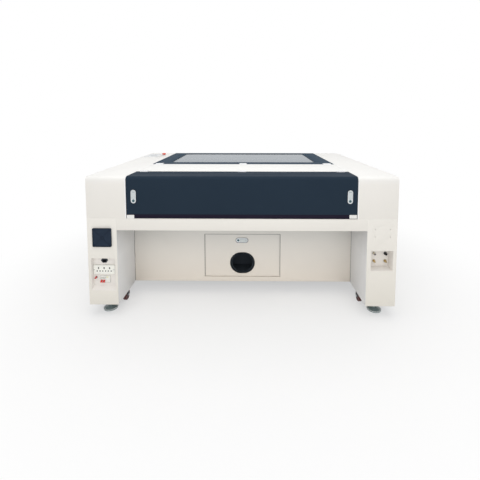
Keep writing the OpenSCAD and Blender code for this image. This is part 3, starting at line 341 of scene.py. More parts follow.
def clear(name, rgb, alpha, rough, ior, specular=0.5):
    """Tinted acrylic or glass."""
    finish = Finish(name, rgb, rough, specular=specular)
    finish.set(Alpha=alpha, IOR=ior)
    finish.mottle(0.08, finish.noise(2.5, 2.0))
    finish.worn(0.0, 0.03, 5.0, 3.0)
    return finish.material


PAINTS = {}
BREAKER_WHITE = (0.86, 0.85, 0.80)
LEVER_EDGE = (245.5 * MM, 247 * MM)      # heights where the levers turn from red to white


def paint(name):
    return PAINTS[name]


def mix_paints():
    """Mixes every finish of the machine and keeps it under a short name."""
    c = colours()
    PAINTS.update({
        # body, recess and reveal are graded with height as painted light and shade.
        "body": graded_coat("body powder coat", 0.1, DECK,
                            [(0.0, c.body_low), (0.94, c.body_mid), (1.0, c.body_high)]),
        "recess": graded_coat("recess coat with painted shade", 0.1, 0.6,
                              [(0.0, c.recess_low), (1.0, c.recess_high)]),
        "reveal": graded_coat("reveal coat with painted shade", 0.1, 0.62,
                              [(0.0, c.reveal), (0.6, c.reveal),
                               (1.0, [0.72 * v for v in c.reveal])]),
        # pocket: painted shade inside the pockets.
        "pocket": powder_coat("pocket coat with painted shade", c.pocket, spread=0.02),
        "deck": powder_coat("deck powder coat", c.deck, spread=0.015),
        # trim: painted edge highlight.
        "trim": powder_coat("painted edge highlight", c.trim, 0.6, 0.01, 0.2),
        "slate": powder_coat("slate powder coat", c.slate, 0.6, 0.05, 0.05),
        # hem: painted shade along the cover's foot.
        "hem": powder_coat("hem painted shade", c.hem, 0.6, 0.05, 0.05),
        "lid": powder_coat("lid powder coat", c.lid, 0.6, 0.05, 0.03),
        "chassis": powder_coat("chassis powder coat", (0.07, 0.08, 0.09)),
        "interior": powder_coat("chamber powder coat", (0.42, 0.43, 0.42)),
        "supply": powder_coat("supply case", (0.30, 0.31, 0.33)),
        "duct": powder_coat("duct black", (0.045, 0.055, 0.068), 0.7, 0.1, 0.1),
        "strut": powder_coat("strut enamel", (0.012, 0.012, 0.013), 0.25),
        "motor": powder_coat("motor enamel", (0.018, 0.018, 0.020), 0.4),
        "bed": brushed("blade steel", (0.50, 0.51, 0.53), 0.38, (60.0, 1.0, 60.0)),
        "rail": brushed("ground rail steel", (0.66, 0.67, 0.69), 0.24, (60.0, 1.0, 60.0)),
        "gantry": brushed("anodised aluminium", (0.62, 0.63, 0.65), 0.36),
        "hinge": powder_coat("hinge enamel", (0.93, 0.94, 0.95), 0.3),
        "zinc": brushed("zinc plate", (0.60, 0.61, 0.62), 0.33),
        "brass": brushed("turned brass", (0.66, 0.50, 0.24), 0.26),
        "chrome": polished("polished chrome", (0.70, 0.73, 0.75)),
        "paddle": powder_coat("latch paddle", (0.60, 0.64, 0.65), 0.3),
        "core": powder_coat("lock core", (0.05, 0.12, 0.14), 0.35, 0.05, 0.5),
        "foot": powder_coat("plated foot", (0.26, 0.33, 0.33), 0.3, 0.1, 0.6),
        "rod": polished("strut rod", (0.70, 0.71, 0.73), 0.08),
        "black": moulded("black nylon", (0.020, 0.021, 0.023), 0.55),
        "inlet": moulded("inlet plastic", (0.012, 0.017, 0.028), 0.4),
        "guard": moulded("guard plastic", (0.014, 0.023, 0.041), 0.6, specular=0.12),
        "foam": filter_foam("filter foam", (0.013, 0.022, 0.038)),
        "screen": moulded("display film", (0.62, 0.65, 0.68), 0.25, 0.02),
        "lens": moulded("display lens", (0.06, 0.09, 0.14), 0.15, 0.02),
        "keys": moulded("key film", (0.66, 0.68, 0.70), 0.4, 0.05),
        "rubber": moulded("belt rubber", (0.012, 0.012, 0.013), 0.75),
        "socket": moulded("socket plastic", (0.93, 0.925, 0.86), 0.35, 0.05),
        "breaker": moulded("breaker plastic", BREAKER_WHITE, 0.4, 0.05),
        "panel": moulded("console plastic", (0.80, 0.81, 0.81), 0.35, 0.05),
        "fuse": moulded("fuse base", (0.40, 0.40, 0.40), 0.45, 0.05),
        "yellow": moulded("test button", (0.82, 0.79, 0.46), 0.4, 0.05),
        "beige": moulded("fitting plastic", (0.72, 0.66, 0.52), 0.4, 0.05),
        "navy": moulded("collet navy", (0.012, 0.016, 0.085), 0.4, 0.05),
        "red": moulded("red plastic", c.red, 0.35, 0.05),
        "lever": graded_coat("lever plastic", *LEVER_EDGE, [(0.0, c.red), (1.0, BREAKER_WHITE)],
                             0.35, 0.03, 0.5),
        "stop": moulded("stop button red", (0.72, 0.10, 0.06), 0.4, 0.05),
        "gap": powder_coat("shadow gap grey", (0.10, 0.105, 0.115), 0.8, 0.05, 0.05),
        "label": moulded("blank label", c.label, 0.45, 0.02),
        "castor": moulded("castor tread", c.castor, 0.5),
        "pane": clear("tinted pane", c.pane, 0.82, 0.03, 1.49, 0.36),
        "glass": clear("tube glass", (0.80, 0.88, 0.90), 0.35, 0.05, 1.47),
        "inner": clear("inner glass", (0.86, 0.84, 0.90), 0.55, 0.05, 1.47),
        "copper": brushed("electrode copper", (0.80, 0.42, 0.25), 0.3),
    })


NODE_PAINTS = {
    "chassis": ["chassis_frame"],
    "interior": ["chamber_walls"],
    "bed": ["bed_frame", "bed_slats"],
    "rail": ["y_rails", "x_pulley", "x_idler", "y_shaft", "y_idlers"],
    "rubber": ["y_belts", "x_belt"],
    "motor": ["y_motor", "x_motor"],
    "black": ["tube_mounts", "head_carriage", "fan_rotor"],
    "brass": ["first_mirror", "second_mirror"],
    "supply": ["cabinet_electronics"],
    "duct": ["exhaust_plenum"],
    "foot": ["levelling_feet"],
    "pane": ["lid_window"],
    "strut": ["strut_cylinder_l", "strut_cylinder_r"],
    "rod": ["strut_rod_l", "strut_rod_r"],
    "gantry": ["focus_tube"],
    "stop": ["estop_button"],
    "lever": ["breaker_levers"],
    "paddle": ["cover_latch_l", "cover_latch_r", "exhaust_door_latch"],
    "zinc": ["castor_fork_l", "castor_fork_r"],
}


def set_paint(thing, name):
    thing.data.materials.clear()
    thing.data.materials.append(paint(name))


# ---- Making pieces ----


SHARP = math.radians(38)      # edges that bend more than this are drawn sharp


def rounded(w, h, r, steps=4):
    """Corners of a rounded rectangle about the origin, anticlockwise."""
    points = []
    for k, (sx, sy) in enumerate(((1, 1), (-1, 1), (-1, -1), (1, -1))):
        for i in range(steps + 1):
            a = math.radians(90 * (k + i / steps))
            points.append((sx * (w / 2 - r) + r * math.cos(a), sy * (h / 2 - r) + r * math.sin(a)))
    return points


def round_outline(r, steps=24):
    return [(r * math.cos(math.tau * i / steps), r * math.sin(math.tau * i / steps))
            for i in range(steps)]


def turned_to(facing):
    """The turn that brings +Z to face that way."""
    return Vector(facing).to_track_quat("Z", "Y")


def placing(at, facing):
    """Puts a shape drawn about the origin, facing +Z, at a place on a wall."""
    return Matrix.Translation(at) @ turned_to(facing).to_matrix().to_4x4()


def prism(bm, outline, depth, at, facing, mark=0, ease=0.0):
    """A plate of that outline that stands out of a wall, its outer edges eased."""
    place = placing(at, facing)
    back = [bm.verts.new(place @ Vector((x, y, 0.0))) for x, y in outline]
    front = [bm.verts.new(place @ Vector((x, y, depth))) for x, y in outline]
    count = len(outline)
    faces = [bm.faces.new(front), bm.faces.new(list(reversed(back)))]
    for i in range(count):
        j = (i + 1) % count
        faces.append(bm.faces.new((back[i], back[j], front[j], front[i])))
    for face in faces:
        face.material_index = mark
    if ease:
        rim = list(faces[0].edges)
        bmesh.ops.bevel(bm, geom=rim, offset=ease, segments=2, profile=0.5, affect="EDGES",
                        material=mark)


def frame_prism(bm, outer, inner, depth, at, facing, mark=0):
    """A ring between two outlines of as many points each."""
    place = placing(at, facing)
    loops = [[bm.verts.new(place @ Vector((x, y, z))) for x, y in outline]
             for outline, z in ((outer, 0.0), (outer, depth), (inner, depth), (inner, 0.0))]
    count = len(outer)
    for a, b in zip(loops, loops[1:] + loops[:1]):
        for i in range(count):
            j = (i + 1) % count
            bm.faces.new((a[i], a[j], b[j], b[i])).material_index = mark


def turned(bm, profile, at, facing, steps=24):
    """A turned shape: the profile lists radius and height from one end to the other."""
    place = placing(at, facing)
    rings = []
    for r, z in profile:
        around = round_outline(r, steps) if r > 1e-7 else [(0.0, 0.0)]
        rings.append([bm.verts.new(place @ Vector((x, y, z))) for x, y in around])
    for a, b in zip(rings, rings[1:]):
        for i in range(steps):
            j = (i + 1) % steps
            corners = [a[i % len(a)], a[j % len(a)], b[j % len(b)], b[i % len(b)]]
            bm.faces.new(list(dict.fromkeys(corners)))


def lathe(bm, profile, at, facing, steps=24):
    """A turned shape whose profile is in millimetres."""
    turned(bm, [(r * MM, h * MM) for r, h in profile], at, facing, steps)


def arc_points(centre, start, end, r):
    """Points along an arc in a plane, between two angles in degrees."""
    steps = 8
    return [centre + r * Vector((math.cos(a), math.sin(a)))
            for a in (math.radians(start + (end - start) * i / steps) for i in range(steps + 1))]


def finish_piece(bm, name, body, paints):
    """Turns a drawn shape into a named piece that rides on a body."""
    bmesh.ops.recalc_face_normals(bm, faces=bm.faces)
    mesh = bpy.data.meshes.new(name)
    bm.to_mesh(mesh)
    bm.free()
    stored = mesh.attributes.get("custom_normal")
    if stored:      # the frame's own shading no longer fits an edited copy
        mesh.attributes.remove(stored)
    for title in paints:
        mesh.materials.append(paint(title))
    mesh.shade_smooth()
    mesh.set_sharp_from_angle(angle=SHARP)
    thing = bpy.data.objects.new(name, mesh)
    bpy.context.scene.collection.objects.link(thing)
    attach(thing, body)
    return thing


def softened(node, name, body, paints, choose=None):
    """A copy of a CAD node, its triangles merged and its faces shared out among the paints."""
    bm = bmesh.new()
    bm.from_mesh(NODES[node].data)
    bmesh.ops.remove_doubles(bm, verts=bm.verts, dist=1e-6)
    for face in bm.faces:
        face.material_index = choose(face.calc_center_median()) if choose else 0
    if node not in ROUND_SHAPES:
        ease_edges(bm)
    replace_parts(finish_piece(bm, name, body, paints), node)


def ease_edges(bm):
    """Joins the triangles of each flat face and rounds the sharp edges between faces."""
    bmesh.ops.dissolve_limit(bm, angle_limit=math.radians(0.5), verts=bm.verts, edges=bm.edges,
                             delimit={"MATERIAL"})
    sharp = [edge for edge in bm.edges
             if edge.is_manifold and edge.calc_face_angle() > math.radians(30)]
    bmesh.ops.bevel(bm, geom=sharp, offset=sizes().edge_round, segments=2, profile=0.5,
                    affect="EDGES", clamp_overlap=True)


# ---- Repeats, set out by Geometry Nodes ----


class Wiring:
    """Short calls for laying out a node tree that ends in one painted geometry."""

    def __init__(self, name, **inputs):
        self.tree = bpy.data.node_groups.new(name, "GeometryNodeTree")
        self.tree.is_modifier = True
        sockets = self.tree.interface
        for label, kind in {**inputs, "Finish": "Material"}.items():
            sockets.new_socket(label.replace("_", " "), in_out="INPUT",
                               socket_type="NodeSocket" + kind)
        sockets.new_socket("Geometry", in_out="OUTPUT", socket_type="NodeSocketGeometry")
        self.given = self.tree.nodes.new("NodeGroupInput")

    def add(self, kind, links):
        """A geometry node whose sockets are linked to other nodes or to named inputs."""
        node = self.tree.nodes.new("GeometryNode" + kind)
        for socket, source in links.items():
            self.join(source, node, socket)
        return node

    def join(self, source, node, socket):
        output = self.given.outputs[source] if isinstance(source, str) else source.outputs[0]
        self.tree.links.new(output, node.inputs[socket])

    def items_on(self, points, turn):
        """The item on every one of the points."""
        item = self.add("ObjectInfo", {"Object": "Item"})
        placed = self.add("InstanceOnPoints", {"Points": points, "Rotation": turn})
        self.tree.links.new(item.outputs["Geometry"], placed.inputs["Instance"])
        return placed

    def close(self, last):
        real = self.add("RealizeInstances", {0: last})
        painted = self.add("SetMaterial", {"Geometry": real, "Material": "Finish"})
        self.join(painted, self.tree.nodes.new("NodeGroupOutput"), 0)
        return self.tree


def grid_tree():
    """Copies of an item in columns and rows; one row makes a plain line."""
    wire = Wiring("item grid", Item="Object", Start="Vector", Turn="Rotation", Columns="Int",
                  Column_Step="Vector", Rows="Int", Row_Step="Vector")
    row = wire.add("MeshLine", {"Count": "Columns", "Start Location": "Start",
                                "Offset": "Column Step"})
    column = wire.add("MeshLine", {"Count": "Rows", "Offset": "Row Step"})
    spread = wire.add("InstanceOnPoints", {"Points": column, "Instance": row})
    points = wire.add("RealizeInstances", {0: spread})
    return wire.close(wire.items_on(points, "Turn"))


def ring_tree():
    """Copies of an item round a circle, each turned to face outwards."""
    wire = Wiring("item ring", Item="Object", Start="Vector", Turn="Rotation", Count="Int",
                  Radius="Float")
    circle = wire.add("MeshCircle", {"Vertices": "Count", "Radius": "Radius"})
    outward = wire.tree.nodes.new("FunctionNodeAlignRotationToVector")
    outward.axis = "X"
    wire.join(wire.add("InputPosition", {}), outward, "Vector")
    real = wire.add("RealizeInstances", {0: wire.items_on(circle, outward)})
    moved = wire.add("Transform", {"Geometry": real, "Translation": "Start", "Rotation": "Turn"})
    return wire.close(moved)


def spiral_tree():
    """A round bar wound along an axis."""
    wire = Wiring("wound bar", Turns="Float", Radius="Float", Length="Float", Thickness="Float",
                  Start="Vector", Turn="Rotation")
    spiral = wire.add("CurveSpiral", {"Rotations": "Turns", "Start Radius": "Radius",
                                      "End Radius": "Radius", "Height": "Length"})
    spiral.inputs["Resolution"].default_value = 14
    section = wire.add("CurvePrimitiveCircle", {"Radius": "Thickness"})
    section.inputs["Resolution"].default_value = 7
    swept = wire.add("CurveToMesh", {"Curve": spiral, "Profile Curve": section})
    swept.inputs["Fill Caps"].default_value = True
    moved = wire.add("Transform", {"Geometry": swept, "Translation": "Start", "Rotation": "Turn"})
    return wire.close(moved)


TREES = {}


def tree_for(kind):
    if kind not in TREES:
        TREES[kind] = {"grid": grid_tree, "ring": ring_tree, "spiral": spiral_tree}[kind]()
    return TREES[kind]


def lay_out(kind, **values):
    """Runs one tree with its named inputs and gives the plain mesh it makes."""
    carrier = bpy.data.objects.new("carrier", bpy.data.meshes.new("carrier"))
    bpy.context.scene.collection.objects.link(carrier)
    modifier = carrier.modifiers.new("set out", "NODES")
    modifier.node_group = tree_for(kind)
    for socket in modifier.node_group.interface.items_tree:
        if socket.in_out == "INPUT":
            modifier[socket.identifier] = values[socket.name.replace(" ", "_").lower()]
    graph = bpy.context.evaluated_depsgraph_get()
    mesh = bpy.data.meshes.new_from_object(carrier.evaluated_get(graph), depsgraph=graph)
    bpy.data.objects.remove(carrier)
    return mesh


class Row:
    """Several set-outs of one item, gathered into one piece of a single finish."""

    def __init__(self, draw, title):
        bm = bmesh.new()
        draw(bm)
        bmesh.ops.recalc_face_normals(bm, faces=bm.faces)
        self.title = title
        data = bpy.data.meshes.new("item")
        bm.to_mesh(data)
        bm.free()
        self.item = bpy.data.objects.new("item", data)
        bpy.context.scene.collection.objects.link(self.item)
        self.bm = bmesh.new()

    def add(self, kind, start, facing, **values):
        mesh = lay_out(kind, item=self.item, start=Vector(start), turn=turned_to(facing).to_euler(),
                       finish=paint(self.title), **values)
        self.bm.from_mesh(mesh)
        bpy.data.meshes.remove(mesh)

    def grid(self, start, facing, columns=1, step=(0, 0, 0), rows=1, row_step=(0, 0, 0)):
        self.add("grid", start, facing, columns=columns, column_step=Vector(step), rows=rows,
                 row_step=Vector(row_step))

    def line(self, start, end, facing, pitch):
        """Evenly set between two places, no further apart than the pitch."""
        span = Vector(end) - Vector(start)
        gaps = max(1, math.ceil(span.length / pitch))
        self.grid(start, facing, gaps + 1, span / gaps)

    def ring(self, centre, facing, count, radius):
        self.add("ring", centre, facing, count=count, radius=radius)

    def done(self, name, body):
        bpy.data.objects.remove(self.item)
        finish_piece(self.bm, name, body, [self.title])


# ---- Frame nodes with eased edges ----


def over_deck(place):
    """Marks hinge leaves and knuckles, which stand on the sheet."""
    return int(place.z > DECK + 0.2 * MM)


POCKETS = [[Vector(corner) for corner in opening["box_m"]]
           for opening in frame["record"]["physics"]["openings"]
           if opening["name"] in ("power_pocket_space", "water_pocket_space")]


def housing_mark(place):
    """Outside of a housing 0, its side of the recess 1 and its pocket's tray 2."""
    around, behind, below, skin = 15 * MM, 40 * MM, 100 * MM, 0.1 * MM
    for lo, hi in POCKETS:
        if (lo.x - around < place.x < hi.x + around and REAR + skin < place.y < hi.y + behind
                and lo.z - below < place.z < hi.z + around):
            return 2
    return int(abs(place.x) < PILLAR + skin and place.y < PANEL)


def socket_mark(place):
    """Inlet 0, socket plate 1, fuse cap 2 and fuse base 3."""
    inlet_h, fuse_h, cap_l = 30 * MM, 20 * MM, 15.5 * MM
    lo, hi = BOXES["mains_sockets"]
    if place.z > hi.z - inlet_h:
        return 0
    if place.z > lo.z + fuse_h:
        return 1
    return 2 if place.y < lo.y + cap_l else 3


def fitting_mark(place):
    """Brass barbs 0, push-in air fitting 1 and cable gland 2."""
    centre = middle("service_fittings")
    if place.z < centre.z:
        return 0
    return 1 if place.x < centre.x else 2


PADDLE_AHEAD = 11 * MM      # from the middle of the door latch's bezel to that of its paddle
HUB_R = 14.5 * MM
CAP_L = 40.5 * MM      # end caps of the laser tube
TOP_RAIL_H = 12.5 * MM


def door_mark(place):
    """The exhaust door's sheet 0 and the bezel of its latch 1."""
    centre = middle("exhaust_door_latch")
    half_l, half_w, behind = 48 * MM, 18 * MM, 2.4 * MM
    near = (abs(place.x - centre.x + PADDLE_AHEAD) < half_l
            and abs(place.z - centre.z) < half_w)
    return int(near and place.y < centre.y + behind)


def wheel_mark(name):
    """A wheel's tread 0 and its hub 1."""
    centre = middle(name)
    return lambda place: int(math.hypot(place.y - centre.y, place.z - centre.z) < HUB_R)


def tube_mark(place):
    """The laser tube's glass 0 and its end caps 1."""
    return int(not low("laser_tube").x + CAP_L < place.x < high("laser_tube").x - CAP_L)


def rail_mark(place):
    """The gantry's extrusions 0 and the ground rail on top 1."""
    return int(place.z > high("gantry_beam").z - TOP_RAIL_H)


EASED = {
    "power_side_housing": (["body", "reveal", "pocket"], housing_mark),
    "water_side_housing": (["body", "reveal", "pocket"], housing_mark),
    "power_side_top": (["body"], None),
    "water_side_top": (["body"], None),
    "rear_deck": (["deck"], None),
    "rear_beam": (["body"], None),
    "rear_panel": (["recess"], None),
    "front_panel": (["body"], None),
    "front_door": (["body"], None),
    "scrap_drawer": (["body"], None),
    "exhaust_door": (["recess", "chrome"], door_mark),
    "tube_cover": (["slate", "hinge"], over_deck),
    "lid_frame": (["lid", "hinge"], over_deck),
    "hinge_leaves": (["hinge"], None),
    "cover_latch_bezels": (["chrome"], None),
    "fan_grille": (["guard"], None),
    "mains_sockets": (["inlet", "socket", "red", "fuse"], socket_mark),
    "breaker": (["breaker"], None),
    "service_fittings": (["brass", "beige", "black"], fitting_mark),
    "control_panel": (["panel"], None),
    "laser_tube": (["glass", "zinc"], tube_mark),
    "gantry_beam": (["gantry", "rail"], rail_mark),
}
for wheel in ("wheel_rear_l", "wheel_rear_r", "wheel_front_l", "wheel_front_r"):
    EASED[wheel] = (["castor", "zinc"], wheel_mark(wheel))


# Nodes whose small round or tight shapes a rounding would spoil
ROUND_SHAPES = {"service_fittings", "laser_tube", "cover_latch_bezels", "exhaust_door"}


class CUTTER_OT_paint_frame(bpy.types.Operator):
    """Mixes the finishes and paints the CAD nodes that stay as they are"""
    bl_idname = "cutter.paint_frame"
    bl_label = "Paint Frame"

    def execute(self, context):
        mix_paints()
        for name, nodes in NODE_PAINTS.items():
            for node in nodes:
                set_paint(NODES[node], name)
        return {"FINISHED"}


class CUTTER_OT_eased_sheets(bpy.types.Operator):
    """Makes eased copies of the sheets, castings and fittings, in their finishes"""
    bl_idname = "cutter.eased_sheets"
    bl_label = "Eased Sheets"

    def execute(self, context):
        homes = {node: body for body, nodes in frame["record"]["behaviour"]["bodies"].items()
                 for node in nodes}
        for node, (paints, choose) in EASED.items():
            softened(node, node + "_eased", homes[node], paints, choose)
        return {"FINISHED"}


# ---- Cover, latches, painted shade and painted edge highlights ----


class CUTTER_OT_cover_trim(bpy.types.Operator):
    """Makes the cover's hem, a dark band of painted shade, and its blank labels"""
    bl_idname = "cutter.cover_trim"
    bl_label = "Cover Trim"

    def execute(self, context):
        s = sizes()
        proud = 0.8 * MM
        edge = high("tube_cover").x - 2 * MM
        foot = low("tube_cover").z + 0.5 * MM
        bm = bmesh.new()
        prism(bm, rounded(2 * edge, s.hem_h, 1 * MM), proud, (0, REAR, foot + s.hem_h / 2),
              REARWARD, ease=0.3 * MM)
        finish_piece(bm, "cover_hem", "cover", ["hem"])
        for side, name, lift in ((-1, "cover_label_left", -2 * MM),
                                 (1, "cover_label_right", 2 * MM)):
            bm = bmesh.new()
            place = (side * (edge - s.label_w / 2), REAR - proud, foot + lift + s.label_h / 2)
            prism(bm, rounded(s.label_w, s.label_h, 1.5 * MM), 0.3 * MM, place, REARWARD)
            finish_piece(bm, name, "cover", ["label"])
        return {"FINISHED"}


LATCH_W = 34 * MM
LOCK_IN = 17.2 * MM      # from a bezel's end to its lock
BEZEL_H = 4.6 * MM      # how far the door latch's bezel stands off the sheet


class CUTTER_OT_latch_details(bpy.types.Operator):
    """Makes the painted shadow rings, lock cores and thumb lines of the three latches"""
    bl_idname = "cutter.latch_details"
    bl_label = "Latch Details"

    def execute(self, context):
        bezel_low, bezel_high = BOXES["cover_latch_bezels"]
        span = bezel_high.z - bezel_low.z
        level = middle("cover_latch_bezels").z
        shadow_rings, cores = bmesh.new(), bmesh.new()
        for side in SIDES:
            x = side * (bezel_high.x - LATCH_W / 2)
            shadow_ring(shadow_rings, (x, REAR, level), span, False)
            lock_core(cores, (x, bezel_low.y, level - span / 2 + LOCK_IN))
        # The cover latches' dark rings are painted shadow in the black rubber finish.
        finish_piece(shadow_rings, "cover_latch_gaskets", "cover", ["rubber"])
        finish_piece(cores, "cover_lock_cores", "cover", ["core", "black"])
        door = middle("exhaust_door_latch")
        face = low("exhaust_door").y
        centre = door.x - PADDLE_AHEAD
        shadow_rings, cores = bmesh.new(), bmesh.new()
        # The door latch's dark ring is painted shadow, set 1.2 mm low as a drop shadow.
        shadow_ring(shadow_rings, (centre, face + BEZEL_H, door.z - 1.2 * MM), span, True)
        lock_core(cores, (centre - span / 2 + LOCK_IN, face, door.z))
        finish_piece(shadow_rings, "door_latch_gasket", "exhaust_service_door", ["gap"])
        finish_piece(cores, "door_lock_core", "exhaust_service_door",
                     ["core", "black"])
        for node, body, flat in (("cover_latch_l", "cover_paddle_left", False),
                                 ("cover_latch_r", "cover_paddle_right", False),
                                 ("exhaust_door_latch", "exhaust_paddle", True)):
            lines = bmesh.new()
            paddle_line(lines, node, flat)
            finish_piece(lines, node + "_line", body, ["core"])
        return {"FINISHED"}


def shadow_ring(bm, place, span, flat):
    """A dark ring of painted shadow round a latch, upright or lying flat."""
    grow = (7 if flat else 3) * MM
    sizes_xy = (span + grow, LATCH_W + grow) if flat else (LATCH_W + grow, span + grow)
    prism(bm, rounded(*sizes_xy, LATCH_W / 2 + 0.9 * grow / 2, 8), 1.1 * MM, place, REARWARD)


def lock_core(bm, place):
    """A latch's round lock with its key slot."""
    proud = 1.1
    lathe(bm, [(0, -0.8), (9.2, -0.8), (9.2, 0.7), (8.4, proud), (0, proud)], place, REARWARD, 28)
    prism(bm, rounded(1.6 * MM, 8 * MM, 0.5 * MM, 2), 0.2 * MM,
          Vector(place) + proud * MM * REARWARD, REARWARD, 1)


def paddle_line(bm, node, flat):
    """A shallow ridge across a paddle near its free end."""
    lo, hi = BOXES[node]
    centre = middle(node)
    width = (hi.z - lo.z if flat else hi.x - lo.x) - 11 * MM
    thick, inset, sunk = 1.6 * MM, 9 * MM, 0.01 * MM
    if flat:
        outline, place = (thick, width), (hi.x - inset, lo.y + sunk, centre.z)
    else:
        outline, place = (width, thick), (centre.x, lo.y + sunk, hi.z - inset)
    prism(bm, rounded(*outline, 0.5 * MM, 2), 0.4 * MM, place, REARWARD)


BEND_R = 25 * MM
PLATE_L = 242 * MM      # from a housing's end to the far edge of its base plate


def skin_line(proud):
    """The upper body's outline in (Y, Z), set out from its skin."""
    r = BEND_R + proud
    foot = SEAM + 1 * MM
    line = [Vector((REAR - proud, foot))]
    for y, start, end in ((REAR + BEND_R, 180, 90), (FRONT - BEND_R, 90, 0)):
        line += arc_points(Vector((y, DECK - BEND_R)), start, end, r)
    return line + [Vector((FRONT + proud, foot))]


class CUTTER_OT_bay_highlights(bpy.types.Operator):
    """Makes the bright strips of painted edge highlight beside the cover and lid and along the deck strip"""
    bl_idname = "cutter.bay_trims"
    bl_label = "Bay Highlights"

    def execute(self, context):
        s = sizes()
        proud, sunk = 0.6 * MM, 0.4 * MM
        outline = skin_line(proud) + skin_line(-sunk)[::-1]
        for side, name in ((-1, "bay_trim_left"), (1, "bay_trim_right")):
            bm = bmesh.new()
            start = BAY if side > 0 else -BAY - s.trim_w
            prism(bm, outline, s.trim_w, (start, 0, 0), ACROSS)
            finish_piece(bm, name, "machine", ["trim"])
        rear, front = low("rear_deck").y, high("rear_deck").y
        bm = bmesh.new()
        for y in (rear + s.trim_w / 2, front - s.trim_w / 2):
            prism(bm, rounded(2 * BAY, s.trim_w, 0.5 * MM), 0.5 * MM, (0, y, DECK), UP)
        finish_piece(bm, "deck_trims", "machine", ["trim"])
        return {"FINISHED"}


PIN_OUT = 5 * MM      # how far the exhaust door's hinge pins reach past its sheet


class CUTTER_OT_shadow_gaps(bpy.types.Operator):
    """Makes the dark strips of painted shade in the exhaust door's gap and the recess's corners"""
    bl_idname = "cutter.shadow_gaps"
    bl_label = "Shadow Gaps"

    def execute(self, context):
        gap, clear = 2.8 * MM, 0.2 * MM
        lo, hi = BOXES["exhaust_door"]
        centre = middle("exhaust_door")
        half, rise = hi.x - PIN_OUT, (hi.z - lo.z) / 2
        inside, ceiling = half + clear, rise + clear
        outside, crown = half + gap, rise + gap
        arch = [(outside, -rise), (outside, crown), (-outside, crown), (-outside, -rise),
                (-inside, -rise), (-inside, ceiling), (inside, ceiling), (inside, -rise)]
        bm = bmesh.new()
        prism(bm, arch, 0.4 * MM, (centre.x, PANEL + 1.4 * MM, centre.z), REARWARD)
        finish_piece(bm, "exhaust_door_seal", "machine", ["gap"])
        bm = bmesh.new()
        foot = low("rear_panel").z + 2 * MM
        rise = low("rear_beam").z - foot
        for side in SIDES:
            prism(bm, rounded(1.6 * MM, rise, 0.4 * MM, 2), 0.5 * MM,
                  (side * (PILLAR - 1 * MM), PANEL, foot + rise / 2), REARWARD)
        finish_piece(bm, "recess_corner_seals", "machine", ["gap"])
        return {"FINISHED"}


# ---- Screws ----


def plate(w, h, r, depth, steps=4, ease=0.0):
    """A rounded plate in millimetres, drawn facing +Z, for setting out in rows."""
    return lambda bm: prism(bm, rounded(w * MM, h * MM, r * MM, steps), depth * MM, (0, 0, 0), UP,
                            ease=ease * MM)


def button_head(bm):
    """A low button-head screw with a round socket, drawn facing +Z."""
    r = sizes().screw_r
    turned(bm, [(0, 0), (r, 0), (r, 0.25 * r), (0.85 * r, 0.55 * r), (0.5 * r, 0.72 * r),
                (0.45 * r, 0.3 * r), (0, 0.3 * r)], (0, 0, 0), UP, 12)


def flat_head(bm):
    """A countersunk screw with a cross on its head, drawn facing +Z."""
    r = sizes().screw_r
    turned(bm, [(0, 0), (r, 0), (r, 0.12 * r), (0.9 * r, 0.2 * r), (0, 0.2 * r)], (0, 0, 0), UP, 14)
    for w, h in ((1.1, 0.26), (0.26, 1.1)):
        prism(bm, rounded(w * r, h * r, 0.1 * r, 1), 0.06 * r, (0, 0, 0.2 * r), UP)


HINGE_HALF = 30 * MM
LEAF_TOP = DECK + 2 * MM
LEAF_SPAN = 40 * MM      # between a leaf's outermost screws


def hinge_places():
    """Middles of the three hinges along the machine."""
    edge = low("hinge_leaves").x + HINGE_HALF
    return (edge, 0.0, -edge)


class CUTTER_OT_hinge_screws(bpy.types.Operator):
    """Sets the countersunk screws of the cover's and the lid's hinges"""
    bl_idname = "cutter.hinge_screws"
    bl_label = "Hinge Screws"

    def execute(self, context):
        cover_line = anchor("tube_cover_hinge").y
        lid_line = anchor("lid_hinge").y
        rows = {"hinge_screws_machine": ("machine", [(cover_line + 21 * MM, 3),
                                                     (lid_line - 13 * MM, 2)]),
                "hinge_screws_cover": ("cover", [(cover_line - 13 * MM, 2)]),
                "hinge_screws_lid": ("lid", [(lid_line + 17 * MM, 3), (lid_line + 39 * MM, 2)])}
        for name, (body, lines) in rows.items():
            row = Row(flat_head, "zinc")
            for y, count in lines:
                step = LEAF_SPAN / (count - 1)
                for x in hinge_places():
                    row.grid((x - LEAF_SPAN / 2, y, LEAF_TOP), UP, count, (step, 0, 0))
            row.done(name, body)
        return {"FINISHED"}


class CUTTER_OT_panel_screws(bpy.types.Operator):
    """Sets the button-head screws round the side and front panels"""
    bl_idname = "cutter.panel_screws"
    bl_label = "Panel Screws"

    def execute(self, context):
        pitch = sizes().screw_pitch
        edge = 22 * MM      # from a panel's edge to its screws
        foot = low("water_side_housing").z
        row = Row(button_head, "zinc")
        for side in SIDES:
            for z in (foot + edge, SEAM - edge):
                row.line((side * SIDE, REAR + edge, z), (side * SIDE, FRONT - edge, z),
                         (side, 0, 0), pitch)
        for z in (foot + edge, SEAM - edge):
            row.line((-PILLAR + edge, FRONT, z), (PILLAR - edge, FRONT, z), FORWARD, pitch)
        row.done("panel_screws", "machine")
        return {"FINISHED"}


# ---- Pockets in the rear faces ----


